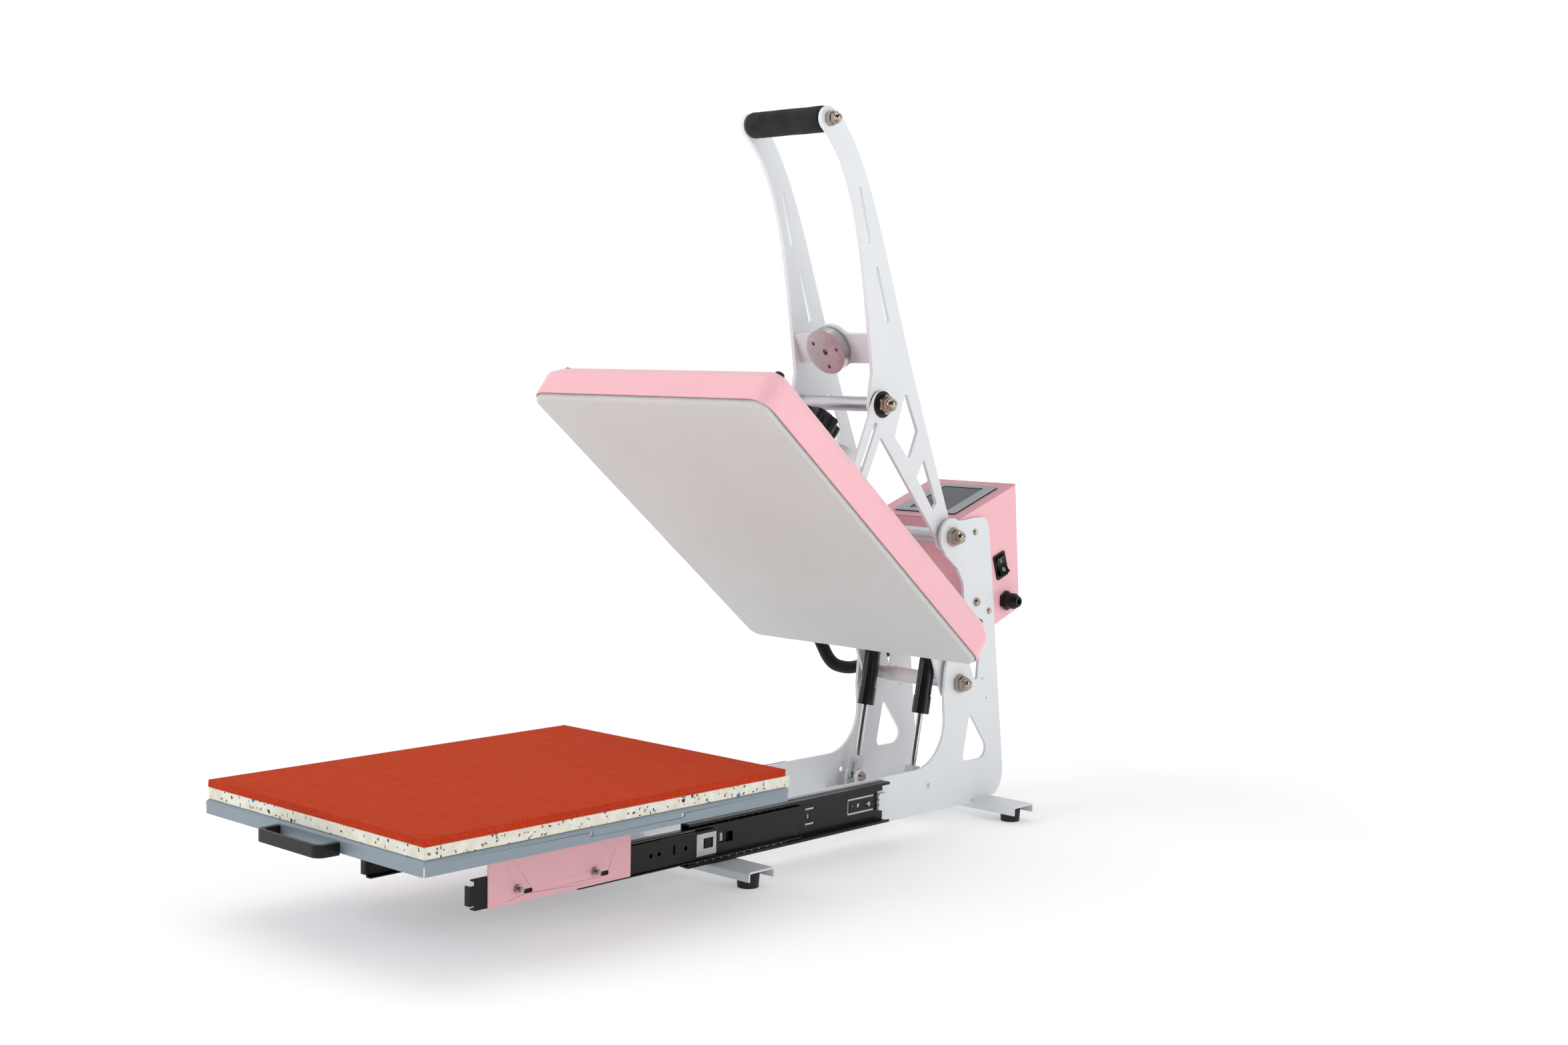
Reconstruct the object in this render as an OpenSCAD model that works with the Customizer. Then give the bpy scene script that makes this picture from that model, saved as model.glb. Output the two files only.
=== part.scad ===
// Clamshell heat press with a pull-out lower platen, gas-spring opening and a magnetic hold-down.
// Frame: +Z up, the operator stands at -Y, X = 0 is the mid-plane, Z = 0 is the table.
// It is drawn fully open: head and handle up, platen drawer pulled out.

/* [Platens] */
// Width of the lower pad and of the heated platen
platen_w = 380; // [320:1:460]
// Length of the lower pad; the heated platen is slightly longer
platen_l = 508; // [420:1:610]
// Thickness of the heated aluminium platen
platen_t = 18; // [12:1:22]
// Thickness of the silicone foam pad
pad_t = 8; // [5:0.5:12]
// Thickness of the rebonded foam board under the pad
board_t = 13; // [8:1:18]
// Height of the steel tray's down-turned edge
tray_h = 16; // [12:1:20]
// Sheet thickness of the tray and of the covers
sheet_t = 2; // [1:0.1:2.4]
// Height of the tray's top face above the table
tray_z = 128; // [120:1:134]

/* [Frame] */
// Thickness of the side plates
plate_t = 4; // [3:0.1:5]
// Half distance between the outer faces of the side plates
plate_x = 78; // [74:1:84]
// Height of the side plates' lower edge
plate_z = 20; // [18:1:22]
// Height of the low arm's upper edge
arm_top_z = 80; // [72:1:90]
// Length of each cross bar
bar_l = 298; // [260:1:360]
// Width of each cross bar
bar_w = 44; // [36:1:54]
// Sheet thickness of the cross bars
bar_t = 2.5; // [2:0.1:3]
// Distance between the two cross bars
bar_pitch = 512; // [480:1:520]
// Radius of a rubber foot
foot_r = 14; // [10:0.5:17]

/* [Pivots] */
// Diameter of the three pivot shafts
pivot_d = 14; // [10:0.5:17]
// Radial play of a part that turns on a shaft
pivot_play = 0.05; // [0.02:0.01:0.1]
// Angle that the head opens
open_angle = 39; // [30:1:39]
// Angle that the handle swings while the head closes
handle_angle = 65; // [55:1:65]
// Thickness of the handle arms
arm_t = 5; // [4:0.1:6]
// Thickness of the links
link_t = 4; // [3:0.1:5]
// Distance between the two pivots of a link
link_l = 117.6; // [110:0.1:125]

/* [Gas springs] */
// Half distance between the two gas springs
spring_x = 48; // [42:1:49]
// Diameter of a gas spring's cylinder
cylinder_d = 22; // [18:0.5:23]
// Diameter of a gas spring's rod
rod_d = 8; // [6:0.5:10]

/* [Drawer] */
// Height of the outer slide member
slide_h = 52; // [42:1:54]
// Length of each slide member
slide_l = 361; // [300:1:400]
// Distance that the lower platen pulls out
drawer_travel = 338; // [250:1:338]
// Width of the pull handle
pull_w = 112; // [90:1:140]

/* [Handle] */
// Radius of the foam grip
grip_r = 16.5; // [14:0.5:20]
// Radius of the armature disc
disc_r = 30.5; // [24:0.5:31]

/* [Control box] */
// Half width of the control box
box_x = 73.4; // [60:0.1:73.4]

/* [Hidden] */
fine = 72;
gap = 0.3;

// Pivots, as [y, z]
pivot_a = [199, 187];
pivot_b = [177, 385];
pivot_c = [32, 560];
link_lean = 25;
pivot_d_open = pivot_c + link_l * [-sin(link_lean), -cos(link_lean)];
pivot_d_shut = turned(pivot_d_open, pivot_a, open_angle);
spring_foot = [137, 51];
spring_top_shut = [134, 234];
spring_top = turned(spring_top_shut, pivot_a, -open_angle);
spring_len = norm(spring_top - spring_foot);
spring_lean = atan2(spring_top[0] - spring_foot[0], spring_top[1] - spring_foot[1]);

// Stations across the machine, measured from the mid-plane
plate_in = plate_x - plate_t;
handle_out = plate_in - 6;
handle_in = handle_out - arm_t;
link_in = handle_out + 1.8;
link_out = link_in + link_t;
shaft_r = pivot_d / 2;
hex_r = pivot_d * 0.91;
hex_h = pivot_d / 2;

// Frame heights and lengths
bar_top = plate_z + 4;
bar_h = 12;
frame_front = -312;
tower_rear = 302;

// Slides, across and up
slide_z = 51;
slide_out_t = 1.8;
slide_mid_t = 1.6;
ball_out = 4.2;
ball_in = 2.4;
slide_mid_h = slide_h - 2 * (slide_out_t + ball_out);
slide_in_h = slide_mid_h - 2 * (slide_mid_t + ball_in);
slide_face = plate_x + 17;
slide_screw = [12.6, 51];
slide_front = -319;

// Drawer and head, along the machine
cover_w = platen_w + 18;
head_l = platen_l + 4;
cover_l = head_l + 18;
head_y = pivot_a[0] - 114 - cover_l / 2;
drawer_y = head_y + 2 - drawer_travel;
tray_w = platen_w + 2 * sheet_t;
tray_l = platen_l + 2 * sheet_t;
pad_z = tray_z + board_t;
pull_reach = 27;

// Head, drawn shut and then opened
head_low = pad_z + pad_t + 2;
cover_low = head_low + 6.5;
cover_h = 46.5;
cover_wall = 32;
cover_in = 11;
hem = 5;
cover_top = cover_low + cover_h;
carriage_low = cover_top + 2;
knob_z = cover_top + 110;
knob_r = 29;

// Handle, drawn open
grip_at = [-73, 908];
grip_rod_r = 5.2;
disc_tilt = 90 - handle_angle;
plate_mid = [24, 631];
disc_up = 3;
disc_t = 10;
disc_ring_t = 8;
disc_face = plate_mid + (arm_t / 2 + disc_t + disc_ring_t) * [-cos(disc_tilt), -sin(disc_tilt)]
    + disc_up * [-sin(disc_tilt), cos(disc_tilt)];
disc_shut = turned(disc_face, pivot_b, handle_angle);
magnet_top = disc_shut[1] - 0.5;
magnet_h = 44;
magnet_r = disc_r - 8.5;

// Control box outline, as [y, z]
box_front = [195, 406];
box_rear = [322, 450];
box_slope = atan2(box_rear[1] - box_front[1], box_rear[0] - box_front[0]);
box_points = [box_front, box_rear, [336, 300], [328, 275], [250, 247]];
wall = 1.5;
switch_at = [291, 340];
gland_at = [304, 291];
conduit_r = 8.5;
conduit_x = -112;
head_gland = [head_y + cover_l / 2, 180];
head_gland_l = 12;
conduit_gap = 3.5;
conduit_start = turned(head_gland + [head_gland_l + conduit_gap, 0], pivot_a, -open_angle);
conduit_step = 8 * [cos(open_angle), -sin(open_angle)];
box_entry = [-60, 313, 258];
conduit_path = concat(
    [for (i = [0:1]) [conduit_x, conduit_start[0] + i * conduit_step[0],
        conduit_start[1] + i * conduit_step[1]]],
    [[conduit_x, 130, 233], [conduit_x, 138, 221], [conduit_x, 148, 207], [conduit_x, 161, 196],
    [conduit_x, 178, 190], [conduit_x, 197, 187], [conduit_x, 217, 188], [conduit_x, 237, 193],
    [-110, 256, 199], [-104, 274, 207], [-94, 289, 217], [-82, 300, 228], [-70, 308, 238],
    [-63, 312, 247], box_entry - [0, 0, 5], box_entry]);

// The origin is under the middle of the drawn-open machine
mid_y = (drawer_y - tray_l / 2 - pull_reach + box_points[2][0]) / 2;

// ---------- helpers ----------

// A point [y, z] turned about another; positive turns the front downwards
function turned(p, c, a) = c + [cos(a) * (p[0] - c[0]) - sin(a) * (p[1] - c[1]),
    sin(a) * (p[0] - c[0]) + cos(a) * (p[1] - c[1])];

// Points along a cubic curve
function curve(a, b, c, d, n = 12) = [for (i = [0:n]) let (t = i / n)
    pow(1 - t, 3) * a + 3 * t * pow(1 - t, 2) * b + 3 * t * t * (1 - t) * c + pow(t, 3) * d];

module placed() {
    translate([0, -mid_y, 0]) children();
}

// Extrudes an outline drawn in [y, z] from x to x + t
module across(x, t) {
    translate([x, 0, 0]) rotate([90, 0, 90]) linear_extrude(t) children();
}

// A round bar or bore along X
module bar_x(at, r, x0, x1) {
    translate([x0, at[0], at[1]]) rotate([0, 90, 0]) cylinder(r = r, h = x1 - x0, $fn = fine);
}

module both_sides() {
    children();
    mirror([1, 0, 0]) children();
}

module rounded(r) {
    offset(r, $fn = 32) offset(-r) children();
}

module eased(r) {
    offset(-r, $fn = 32) offset(r) children();
}

// Holds a part drawn shut and swings it open with the head
module with_head() {
    translate([0, pivot_a[0], pivot_a[1]]) rotate([-open_angle, 0, 0])
        translate([0, -pivot_a[0], -pivot_a[1]]) children();
}

// Local +Z runs up a gas spring from its foot
module along_spring() {
    translate([spring_x, spring_foot[0], spring_foot[1]]) rotate([-spring_lean, 0, 0]) children();
}

// Plain nut and acorn nut on a shaft's end, outwards from x
module nut_pair(at, x, r = shaft_r) {
    difference() {
        union() {
            translate([x, at[0], at[1]]) rotate([0, 90, 0])
                cylinder(r = r * 1.82, h = hex_h, $fn = 6);
            translate([x + hex_h, at[0], at[1]]) rotate([0, 90, 0])
                cylinder(r = r * 1.5, h = hex_h * 0.8, $fn = 6);
            translate([x + hex_h * 1.8, at[0], at[1]]) rotate([0, 90, 0]) rotate_extrude($fn = fine)
                intersection() {
                    circle(r = r * 1.22, $fn = fine);
                    square(r * 1.22);
                }
        }
        bar_x(at, r, x - 1, x + hex_h * 1.4);
    }
}

module ring_x(at, r_out, r_in, x, t) {
    difference() {
        bar_x(at, r_out, x, x + t);
        bar_x(at, r_in, x - 1, x + t + 1);
    }
}

// Small pan-head screw that points inwards from x
module pan_screw(at, x, r = 4) {
    translate([x, at[0], at[1]]) rotate([0, 90, 0]) cylinder(r1 = r, r2 = r * 0.7, h = r * 0.6, $fn = 32);
}

// ---------- frame ----------

module tower_hole_low() {
    hull() {
        translate([227, 136]) circle(4, $fn = 32);
        translate([249, 92]) circle(14, $fn = 32);
        translate([221, 87]) circle(9, $fn = 32);
    }
}

module tower_hole_high() {
    hull() {
        translate([236, 192]) circle(4, $fn = 32);
        translate([212, 244]) circle(5, $fn = 32);
        translate([240, 250]) circle(5, $fn = 32);
    }
}

module side_profile() {
    corner_r = 34;
    sweep_r = 58;
    difference() {
        union() {
            rounded(5) eased(6) union() {
                polygon([[frame_front, plate_z], [frame_front, arm_top_z], [171, arm_top_z], [171, 138],
                    [168, 172], [171, 208], [180, 238], [198, 268], [207, 298], [204, 322],
                    [190, 343], [163, 362], [170, 404], [190, 406], [206, 406], [222, 408.5],
                    [243, 408.5], [250, 406], [255, 400], [258, 391], [266, 335], [276, 260],
                    [292, 135], [tower_rear, 60],
                    [tower_rear, plate_z]]);
                translate(pivot_b) circle(24.5, $fn = fine);
            }
            difference() {
                translate([171 - sweep_r, arm_top_z - 1]) square([sweep_r + 1, sweep_r + 1]);
                translate([171 - sweep_r, arm_top_z + sweep_r]) circle(sweep_r, $fn = fine);
            }
        }
        difference() {
            translate([tower_rear - corner_r, plate_z - 1]) square(corner_r + 1);
            translate([tower_rear - corner_r, plate_z + corner_r]) circle(corner_r, $fn = fine);
        }
        tower_hole_low();
        tower_hole_high();
        for (s = [-1, 1]) translate([s * bar_pitch / 2 - bar_w / 2, plate_z - 1])
            square([bar_w + (s > 0 ? corner_r : 0), bar_top - plate_z + 1]);
        translate([138, 56]) circle(4, $fn = 32);
        translate([251, 188]) circle(1.6, $fn = 32);
        translate([261, 161]) circle(1.6, $fn = 32);
    }
}

module side_plate() {
    difference() {
        across(plate_in, plate_t) side_profile();
        bar_x(pivot_a, shaft_r, plate_in - 1, plate_x + 1);
        bar_x(pivot_b, shaft_r, plate_in - 1, plate_x + 1);
    }
}

module side_plate_right() { color("whitesmoke") placed() side_plate(); }
module side_plate_left() { color("whitesmoke") placed() mirror([1, 0, 0]) side_plate(); }

module cross_bar(y) {
    translate([0, y, bar_top - bar_h]) rotate([90, 0, 90]) translate([0, 0, -bar_l / 2])
        linear_extrude(bar_l) difference() {
            translate([-bar_w / 2, 0]) rounded_top(bar_w, bar_h, 4);
            translate([-bar_w / 2 + bar_t, -1]) rounded_top(bar_w - 2 * bar_t, bar_h - bar_t + 1, 2);
        }
}

// A rectangle with round upper corners
module rounded_top(w, h, r) {
    square([w, h - r]);
    translate([r, 0]) square([w - 2 * r, h]);
    for (x = [r, w - r]) translate([x, h - r]) circle(r, $fn = fine);
}

module cross_bars() {
    color("whitesmoke") placed() for (s = [-1, 1]) cross_bar(s * bar_pitch / 2);
}

module rubber_feet() {
    color([0.08, 0.08, 0.08]) placed() for (x = [-1, 1], y = [-1, 1])
        translate([x * (bar_l / 2 - foot_r - 8), y * bar_pitch / 2, 0])
            cylinder(r1 = foot_r - 1.5, r2 = foot_r, h = bar_top - bar_t, $fn = fine);
}

ear_t = 4;
ear_gap = 14.4;
module spring_bracket() {
    base_z = 34;
    color("whitesmoke") placed() difference() {
        union() {
            translate([-plate_in, spring_foot[0] - 30, base_z]) cube([2 * plate_in, 56, 3]);
            for (s = [-1, 1], side = [-1, 1]) {
                x = s * spring_x + side * (ear_gap + ear_t) / 2 - ear_t / 2;
                translate([x, spring_foot[0] - 10, base_z + 2])
                    cube([ear_t, 20, spring_foot[1] - base_z - 2]);
                bar_x(spring_foot, 10, x, x + ear_t);
            }
        }
        for (s = [-1, 1]) bar_x(spring_foot, 4, s * spring_x - 15, s * spring_x + 15);
    }
}

module bracket_screws() {
    reach = ear_gap / 2 + ear_t;
    color("silver") placed() for (s = [-1, 1]) {
        bar_x(spring_foot, 4, s * spring_x - reach, s * spring_x + reach);
        pan_screw(spring_foot, s * spring_x + reach, 7);
        translate([s * spring_x - reach - 4, spring_foot[0], spring_foot[1]]) rotate([0, 90, 0])
            cylinder(r = 7, h = 4, $fn = 6);
    }
}

shaft_reach = plate_x + hex_h * 1.4;
module pivot_shafts() {
    color("silver") placed() for (p = [pivot_a, pivot_b]) bar_x(p, shaft_r, -shaft_reach, shaft_reach);
}

module lower_pivot_tube() {
    color("dimgray") placed() ring_x(pivot_a, shaft_r + 1.5, shaft_r, -handle_in - 0.7, 2 * handle_in + 1.4);
}

module lower_pivot_sleeve() {
    color("white") placed() ring_x(pivot_a, shaft_r + 3, shaft_r + 1.5, -46, 72);
}

module upper_pivot_tube() {
    reach = handle_in - gap;
    color("gainsboro") placed() ring_x(pivot_b, shaft_r + 3, shaft_r, -reach, 2 * reach);
}

module pivot_spacers() {
    color("gray") placed() both_sides() for (p = [pivot_a, pivot_b])
        ring_x(p, shaft_r + 5, shaft_r, handle_out + gap, plate_in - handle_out - gap);
}

module pivot_nuts() {
    color("silver") placed() both_sides() for (p = [pivot_a, pivot_b]) nut_pair(p, plate_x);
}

module plate_screws() {
    color("silver") placed() both_sides() {
        for (p = [[227, 389], [262, 280]]) pan_screw(p, plate_x, 4.5);
        translate([plate_x, 233, 294]) rotate([0, 90, 0]) rotate_extrude($fn = fine) intersection() {
            circle(r = 6, $fn = fine);
            square(6);
        }
        for (p = [[-260, slide_z], slide_screw]) translate([plate_in - 5, p[0], p[1]]) rotate([0, 90, 0])
            cylinder(r = 5, h = 5, $fn = 6);
        pan_screw(slide_screw, plate_x + slide_out_t);
    }
}

// ---------- drawer slides ----------

// A channel that opens outwards, drawn across X and up Z
module channel(x, h, depth, t, lip) {
    difference() {
        translate([x, -h / 2]) square([depth, h]);
        translate([x + t, -h / 2 + t]) square([depth, h - 2 * t]);
    }
    if (lip > 0) for (s = [-1, 1]) translate([x + depth - t, s > 0 ? h / 2 - t - lip : -h / 2 + t])
        square([t, lip]);
}

module slide_run(y) {
    translate([0, y + slide_l, slide_z]) rotate([90, 0, 0]) linear_extrude(slide_l) children();
}

// Balls in their cage, above and below the line at
module ball_cage(at, up, d, count) {
    pitch = 13;
    for (s = [-1, 1]) translate(at + [0, 0, s * up]) {
        translate([-0.6, 0, -0.4]) cube([1.2, (count + 1) * pitch, 0.8]);
        for (i = [1:count]) translate([0, i * pitch, 0]) sphere(r = d / 2 - 0.05, $fn = 20);
    }
}

// Openings in the web of the outer member, as [y, z]
module slide_cuts() {
    slot_y = -102;
    translate([-260, 45]) square([12, 13]);
    difference() {
        translate([-26, 40.5]) rounded(2.5) square([53, 20.8]);
        translate([-22.6, 43.2]) square([60, 15.4]);
    }
    translate([-15, 51]) circle(1.9, $fn = 32);
    translate([-4.6, 51]) circle(3.1, $fn = 32);
    translate([32, 38]) square([20, 26]);
    for (z = [41.6, 60.4]) translate([slot_y + 5, z]) square([18, 2.6], center = true);
    intersection() {
        translate([slot_y, 51]) circle(4.2, $fn = 32);
        translate([slot_y, 46]) square(10);
    }
}

module slide_outer() {
    difference() {
        slide_run(slide_front) channel(plate_x, slide_h, 14, slide_out_t, 1.5);
        across(plate_x - 1, 4) slide_cuts();
    }
    // end retainer
    across(plate_x + slide_out_t, 3.6) for (i = [-1:1]) translate([34.5, slide_z - 1 + 7 * i]) {
        circle(3.8, $fn = 32);
        translate([0, -3.8]) square([11.5, 7.6]);
    }
    ball_cage([plate_x + 9.8, slide_front + 4, slide_z], (slide_mid_h + ball_out) / 2, ball_out, 12);
}

module slide_middle() {
    mid_x = plate_x + 6;
    rest_y = slide_front - drawer_travel / 2;
    difference() {
        slide_run(rest_y) channel(mid_x, slide_mid_h, 9, slide_mid_t, 0);
        translate([mid_x - 1, rest_y + 60, slide_z]) rotate([0, 90, 0])
            cylinder(r = 4, h = 4, $fn = 32);
        translate([mid_x - 1, slide_front + 57, slide_z - 6]) cube([4, 6, 12]);
        translate([mid_x - 1, slide_front + 66, slide_z - 6]) cube([4, 13, 12]);
    }
}

module slide_inner() {
    rest_y = drawer_y - 124;
    tab_h = 21;
    difference() {
        union() {
            slide_run(rest_y) mirror([1, 0]) channel(-slide_face, slide_in_h, 8, slide_mid_t, 0);
            // stop tab at the front end
            translate([slide_face - 8, rest_y, slide_z - tab_h / 2]) cube([8, slide_mid_t, tab_h]);
            // release latch at the rear end
            translate([slide_face, rest_y + slide_l - 31, slide_z - 13]) cube([0.8, 32, 26]);
        }
        for (y = [258, 271, 313]) translate([slide_face - 3, rest_y + y, slide_z]) rotate([0, 90, 0])
            cylinder(r = 2.6, h = 4, $fn = 32);
        translate([slide_face - 3, rest_y + 293, slide_z - 4.5]) cube([4, 3, 11]);
        translate([slide_face - 3, rest_y + 341, slide_z - 5]) cube([5, 15.5, 12]);
        for (s = [-1, 1]) translate([slide_face - 4, rest_y, slide_z + s * (tab_h + 20) / 2])
            cube([12, 14, 20], center = true);
    }
    ball_cage([slide_face - 5.2, rest_y + 150, slide_z], (slide_in_h + ball_in) / 2, ball_in, 13);
}

module slide_outer_right() { color([0.1, 0.1, 0.1]) placed() slide_outer(); }
module slide_outer_left() { color([0.1, 0.1, 0.1]) placed() mirror([1, 0, 0]) slide_outer(); }
module slide_middle_right() { color([0.1, 0.1, 0.1]) placed() slide_middle(); }
module slide_middle_left() { color([0.1, 0.1, 0.1]) placed() mirror([1, 0, 0]) slide_middle(); }
module slide_inner_right() { color([0.1, 0.1, 0.1]) placed() slide_inner(); }
module slide_inner_left() { color([0.1, 0.1, 0.1]) placed() mirror([1, 0, 0]) slide_inner(); }

// ---------- control box ----------

module box_outline() {
    polygon(box_points);
}

module control_box() {
    color([0.97, 0.75, 0.78]) placed() difference() {
        across(-box_x, 2 * box_x) box_outline();
        across(-box_x + wall, 2 * (box_x - wall)) offset(-wall) box_outline();
        on_panel() translate([-box_x + 4, 4, -6]) cube([2 * box_x - 8, panel_l - 8, 12]);
        bar_x(gland_at, 9, box_x - 4, box_x + 1);
        on_switch() translate([-11, -15, -6]) cube([22, 30, 12]);
        translate(box_entry) cylinder(r = 9, h = 22, $fn = fine);
    }
}

panel_l = norm(box_rear - box_front);
screen_x = 4.8;
screen_w = 68;
screen_l = 81;
screen_low = 25;

// Local X runs across, local Y up the slope, local Z out of the panel
module on_panel() {
    translate([0, box_front[0], box_front[1]]) rotate([box_slope, 0, 0]) children();
}

// Local X runs along the slope, local Y up, local Z out of the box's right side
module on_switch() {
    translate([box_x, switch_at[0], switch_at[1]]) rotate([box_slope, 0, 0]) rotate([90, 0, 90])
        children();
}

module control_panel() {
    color([0.85, 0.63, 0.66]) placed() on_panel() difference() {
        translate([-box_x, 0, 0]) cube([2 * box_x, panel_l, wall]);
        translate([screen_x - screen_w / 2 - 1, screen_low - 1, -1])
            cube([screen_w + 2, screen_l + 2, 4]);
    }
}

module screen_bezel() {
    color("silver") placed() on_panel() translate([screen_x, 0, wall]) difference() {
        linear_extrude(1.6) translate([-53, 14]) rounded(4) square([106, 101]);
        translate([-screen_w / 2, screen_low, -1]) cube([screen_w, screen_l, 4]);
    }
}

module screen_glass() {
    color([0.1, 0.1, 0.12]) placed() on_panel()
        translate([screen_x - screen_w / 2 + 0.2, screen_low + 0.2, 0.4])
            cube([screen_w - 0.4, screen_l - 0.4, 2]);
}

module switch_housing() {
    color([0.06, 0.06, 0.06]) placed() on_switch() difference() {
        union() {
            linear_extrude(2.2) translate([-13, -17.5]) rounded(2.5) square([26, 35]);
            translate([-10.8, -14.8, -14]) cube([21.6, 29.6, 14.5]);
        }
        translate([-9.3, -13.3, -12]) cube([18.6, 26.6, 20]);
    }
}

module switch_rocker() {
    tilt = -8;
    color([0.04, 0.04, 0.04]) placed() on_switch() translate([0, 0, -1]) rotate([tilt, 0, 0])
        rotate([0, 90, 0]) {
            translate([0, 0, -9]) linear_extrude(18) difference() {
                translate([-8, -12.4]) square([14, 24.8]);
                translate([-26, 0]) circle(21.8, $fn = 96);
            }
            cylinder(r = 1.5, h = 18.5, center = true, $fn = 32);
        }
}

module cable_gland() {
    color([0.05, 0.05, 0.05]) placed() difference() {
        union() {
            translate([box_x, gland_at[0], gland_at[1]]) rotate([0, 90, 0])
                cylinder(r = 13.5, h = 6, $fn = 6);
            bar_x(gland_at, 8.9, box_x - 8, box_x + 1);
            bar_x(gland_at, 11, box_x + 5, box_x + 17);
            translate([box_x + 17, gland_at[0], gland_at[1]]) rotate([0, 90, 0])
                cylinder(r1 = 11, r2 = 7, h = 7, $fn = 64);
        }
        bar_x(gland_at, 4, box_x - 9, box_x + 30);
    }
    // bottom fitting for the wire conduit
    color([0.05, 0.05, 0.05]) placed() translate(box_entry) {
        cylinder(r = 12, h = 6, $fn = fine);
        cylinder(r = 8.9, h = 20, $fn = fine);
    }
}

module control_board() {
    color("darkgreen") placed() translate([-55, 306, 292]) cube([110, 1.6, 110]);
    color("dimgray") placed() translate([-48, 285, 300]) cube([42, 21, 56]);
    color("gold") placed() translate([8, 280, 304]) cube([38, 26, 34]);
}

// ---------- wiring ----------

function ring_points(c, along, r, sides) = let (
    a = along / norm(along), side = cross(a, [1, 0, 0]), u = side / norm(side), v = cross(a, u))
    [for (j = [0:sides - 1]) c + r * (cos(360 * j / sides) * u + sin(360 * j / sides) * v)];

module tube_along(path, r, sides) {
    last = len(path) - 1;
    rings = [for (i = [0:last]) ring_points(path[i],
        path[min(i + 1, last)] - path[max(i - 1, 0)], r, sides)];
    quads = [for (i = [0:last - 1], j = [0:sides - 1]) let (k = (j + 1) % sides)
        [i * sides + j, (i + 1) * sides + j, (i + 1) * sides + k, i * sides + k]];
    polyhedron([for (q = rings) each q], concat(quads,
        [[for (j = [0:sides - 1]) j], [for (j = [sides - 1:-1:0]) last * sides + j]]));
}

module wire_conduit() {
    color([0.09, 0.09, 0.09]) placed() tube_along(conduit_path, conduit_r, 12);
}

// ---------- drawer ----------

module slab(w, l, r) {
    translate([-w / 2, -l / 2]) rounded(r) square([w, l]);
}

module foam_pad() {
    color([0.8, 0.3, 0.17]) placed() translate([0, drawer_y - 1, pad_z]) linear_extrude(pad_t)
        square([platen_w, platen_l - 2], center = true);
}

module press_board() {
    color([0.92, 0.91, 0.85]) placed() translate([0, drawer_y + 3, tray_z]) linear_extrude(board_t)
        square([platen_w, platen_l + 6], center = true);
}

// A tray block whose four upper edges are round
module tray_block(w, l, h, r) {
    intersection() {
        translate([0, l / 2, 0]) rotate([90, 0, 0]) linear_extrude(l)
            translate([-w / 2, 0]) rounded_top(w, h, r);
        translate([-w / 2, 0, 0]) rotate([90, 0, 90]) linear_extrude(w)
            translate([-l / 2, 0]) rounded_top(l, h, r);
    }
}

module tray() {
    slit = 1.6;
    color([0.58, 0.63, 0.67]) placed() translate([0, drawer_y, tray_z - tray_h]) difference() {
        tray_block(tray_w, tray_l, tray_h, 4);
        translate([0, 0, -1]) tray_block(tray_w - 2 * sheet_t, tray_l - 2 * sheet_t,
            tray_h - sheet_t + 1, 2);
        for (x = [-1, 1], y = [-1, 1]) translate([x * tray_w / 2, y * tray_l / 2, 3])
            rotate([0, 0, 45]) cube([slit, 12, 14], center = true);
        for (x = [-1, 1], y = [-43, 89]) translate([x * tray_w / 2, y, 9]) rotate([0, 90, 0])
            cylinder(r = 2.6, h = 8, center = true, $fn = 32);
    }
}

module pull_handle() {
    front = drawer_y - tray_l / 2;
    color([0.08, 0.08, 0.08]) placed() translate([0, front, tray_z - 18]) linear_extrude(13) difference() {
        translate([-pull_w / 2, -pull_reach]) rounded(11) square([pull_w, 2 * pull_reach]);
        translate([-pull_w / 2 + 7, -pull_reach + 6]) rounded(6)
            square([pull_w - 14, 2 * pull_reach - 12]);
        translate([-pull_w, 0]) square([2 * pull_w, pull_reach]);
    }
}

stud_spots = [[-62, 49.5], [47, 49.5]];
module tray_bracket() {
    low = 34;
    top = tray_z - sheet_t;
    translate([0, drawer_y, 0]) difference() {
        translate([0, 101, 0]) rotate([90, 0, 0]) linear_extrude(202) {
            translate([slide_face, low]) square([sheet_t, top - low]);
            translate([slide_face - 16, top - sheet_t]) square([17, sheet_t]);
        }
        for (p = stud_spots) {
            bar_x(p, 2.5, slide_face - 1, slide_face + sheet_t + 1);
            for (y = [0, 7]) bar_x([p[0] + 12 + y, p[1] - 5], 2.6, slide_face - 1,
                slide_face + sheet_t + 1);
            translate([slide_face - 1, p[0] + 12, p[1] - 7.6]) cube([sheet_t + 2, 7, 5.2]);
        }
    }
}

module tray_bracket_right() { color([0.95, 0.72, 0.75]) placed() tray_bracket(); }
module tray_bracket_left() { color([0.95, 0.72, 0.75]) placed() mirror([1, 0, 0]) tray_bracket(); }

module bracket_nuts() {
    color("silver") placed() both_sides() translate([0, drawer_y, 0]) for (p = stud_spots) {
        bar_x(p, 2.5, slide_face, slide_face + 11);
        translate([slide_face + sheet_t, p[0], p[1]]) rotate([0, 90, 0])
            cylinder(r = 4.8, h = 4, $fn = 6);
    }
}

// ---------- head ----------

rod_r = 4;
element_z = head_low + 1 + platen_t + gap + rod_r;
element_x = 116;
element_l = 360;

// Outline of a serpentine heater
module element_outline() {
    bend = element_x / 3;
    for (i = [-3:2:3]) translate([i * bend, 0]) square([2 * rod_r, element_l], center = true);
    for (i = [-1:1]) translate([i * 2 * bend, (i == 0 ? -1 : 1) * element_l / 2]) difference() {
        circle(bend + rod_r, $fn = fine);
        circle(bend - rod_r, $fn = fine);
        translate([-element_x, i == 0 ? 0 : -2 * element_x]) square(2 * element_x);
    }
}

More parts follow.
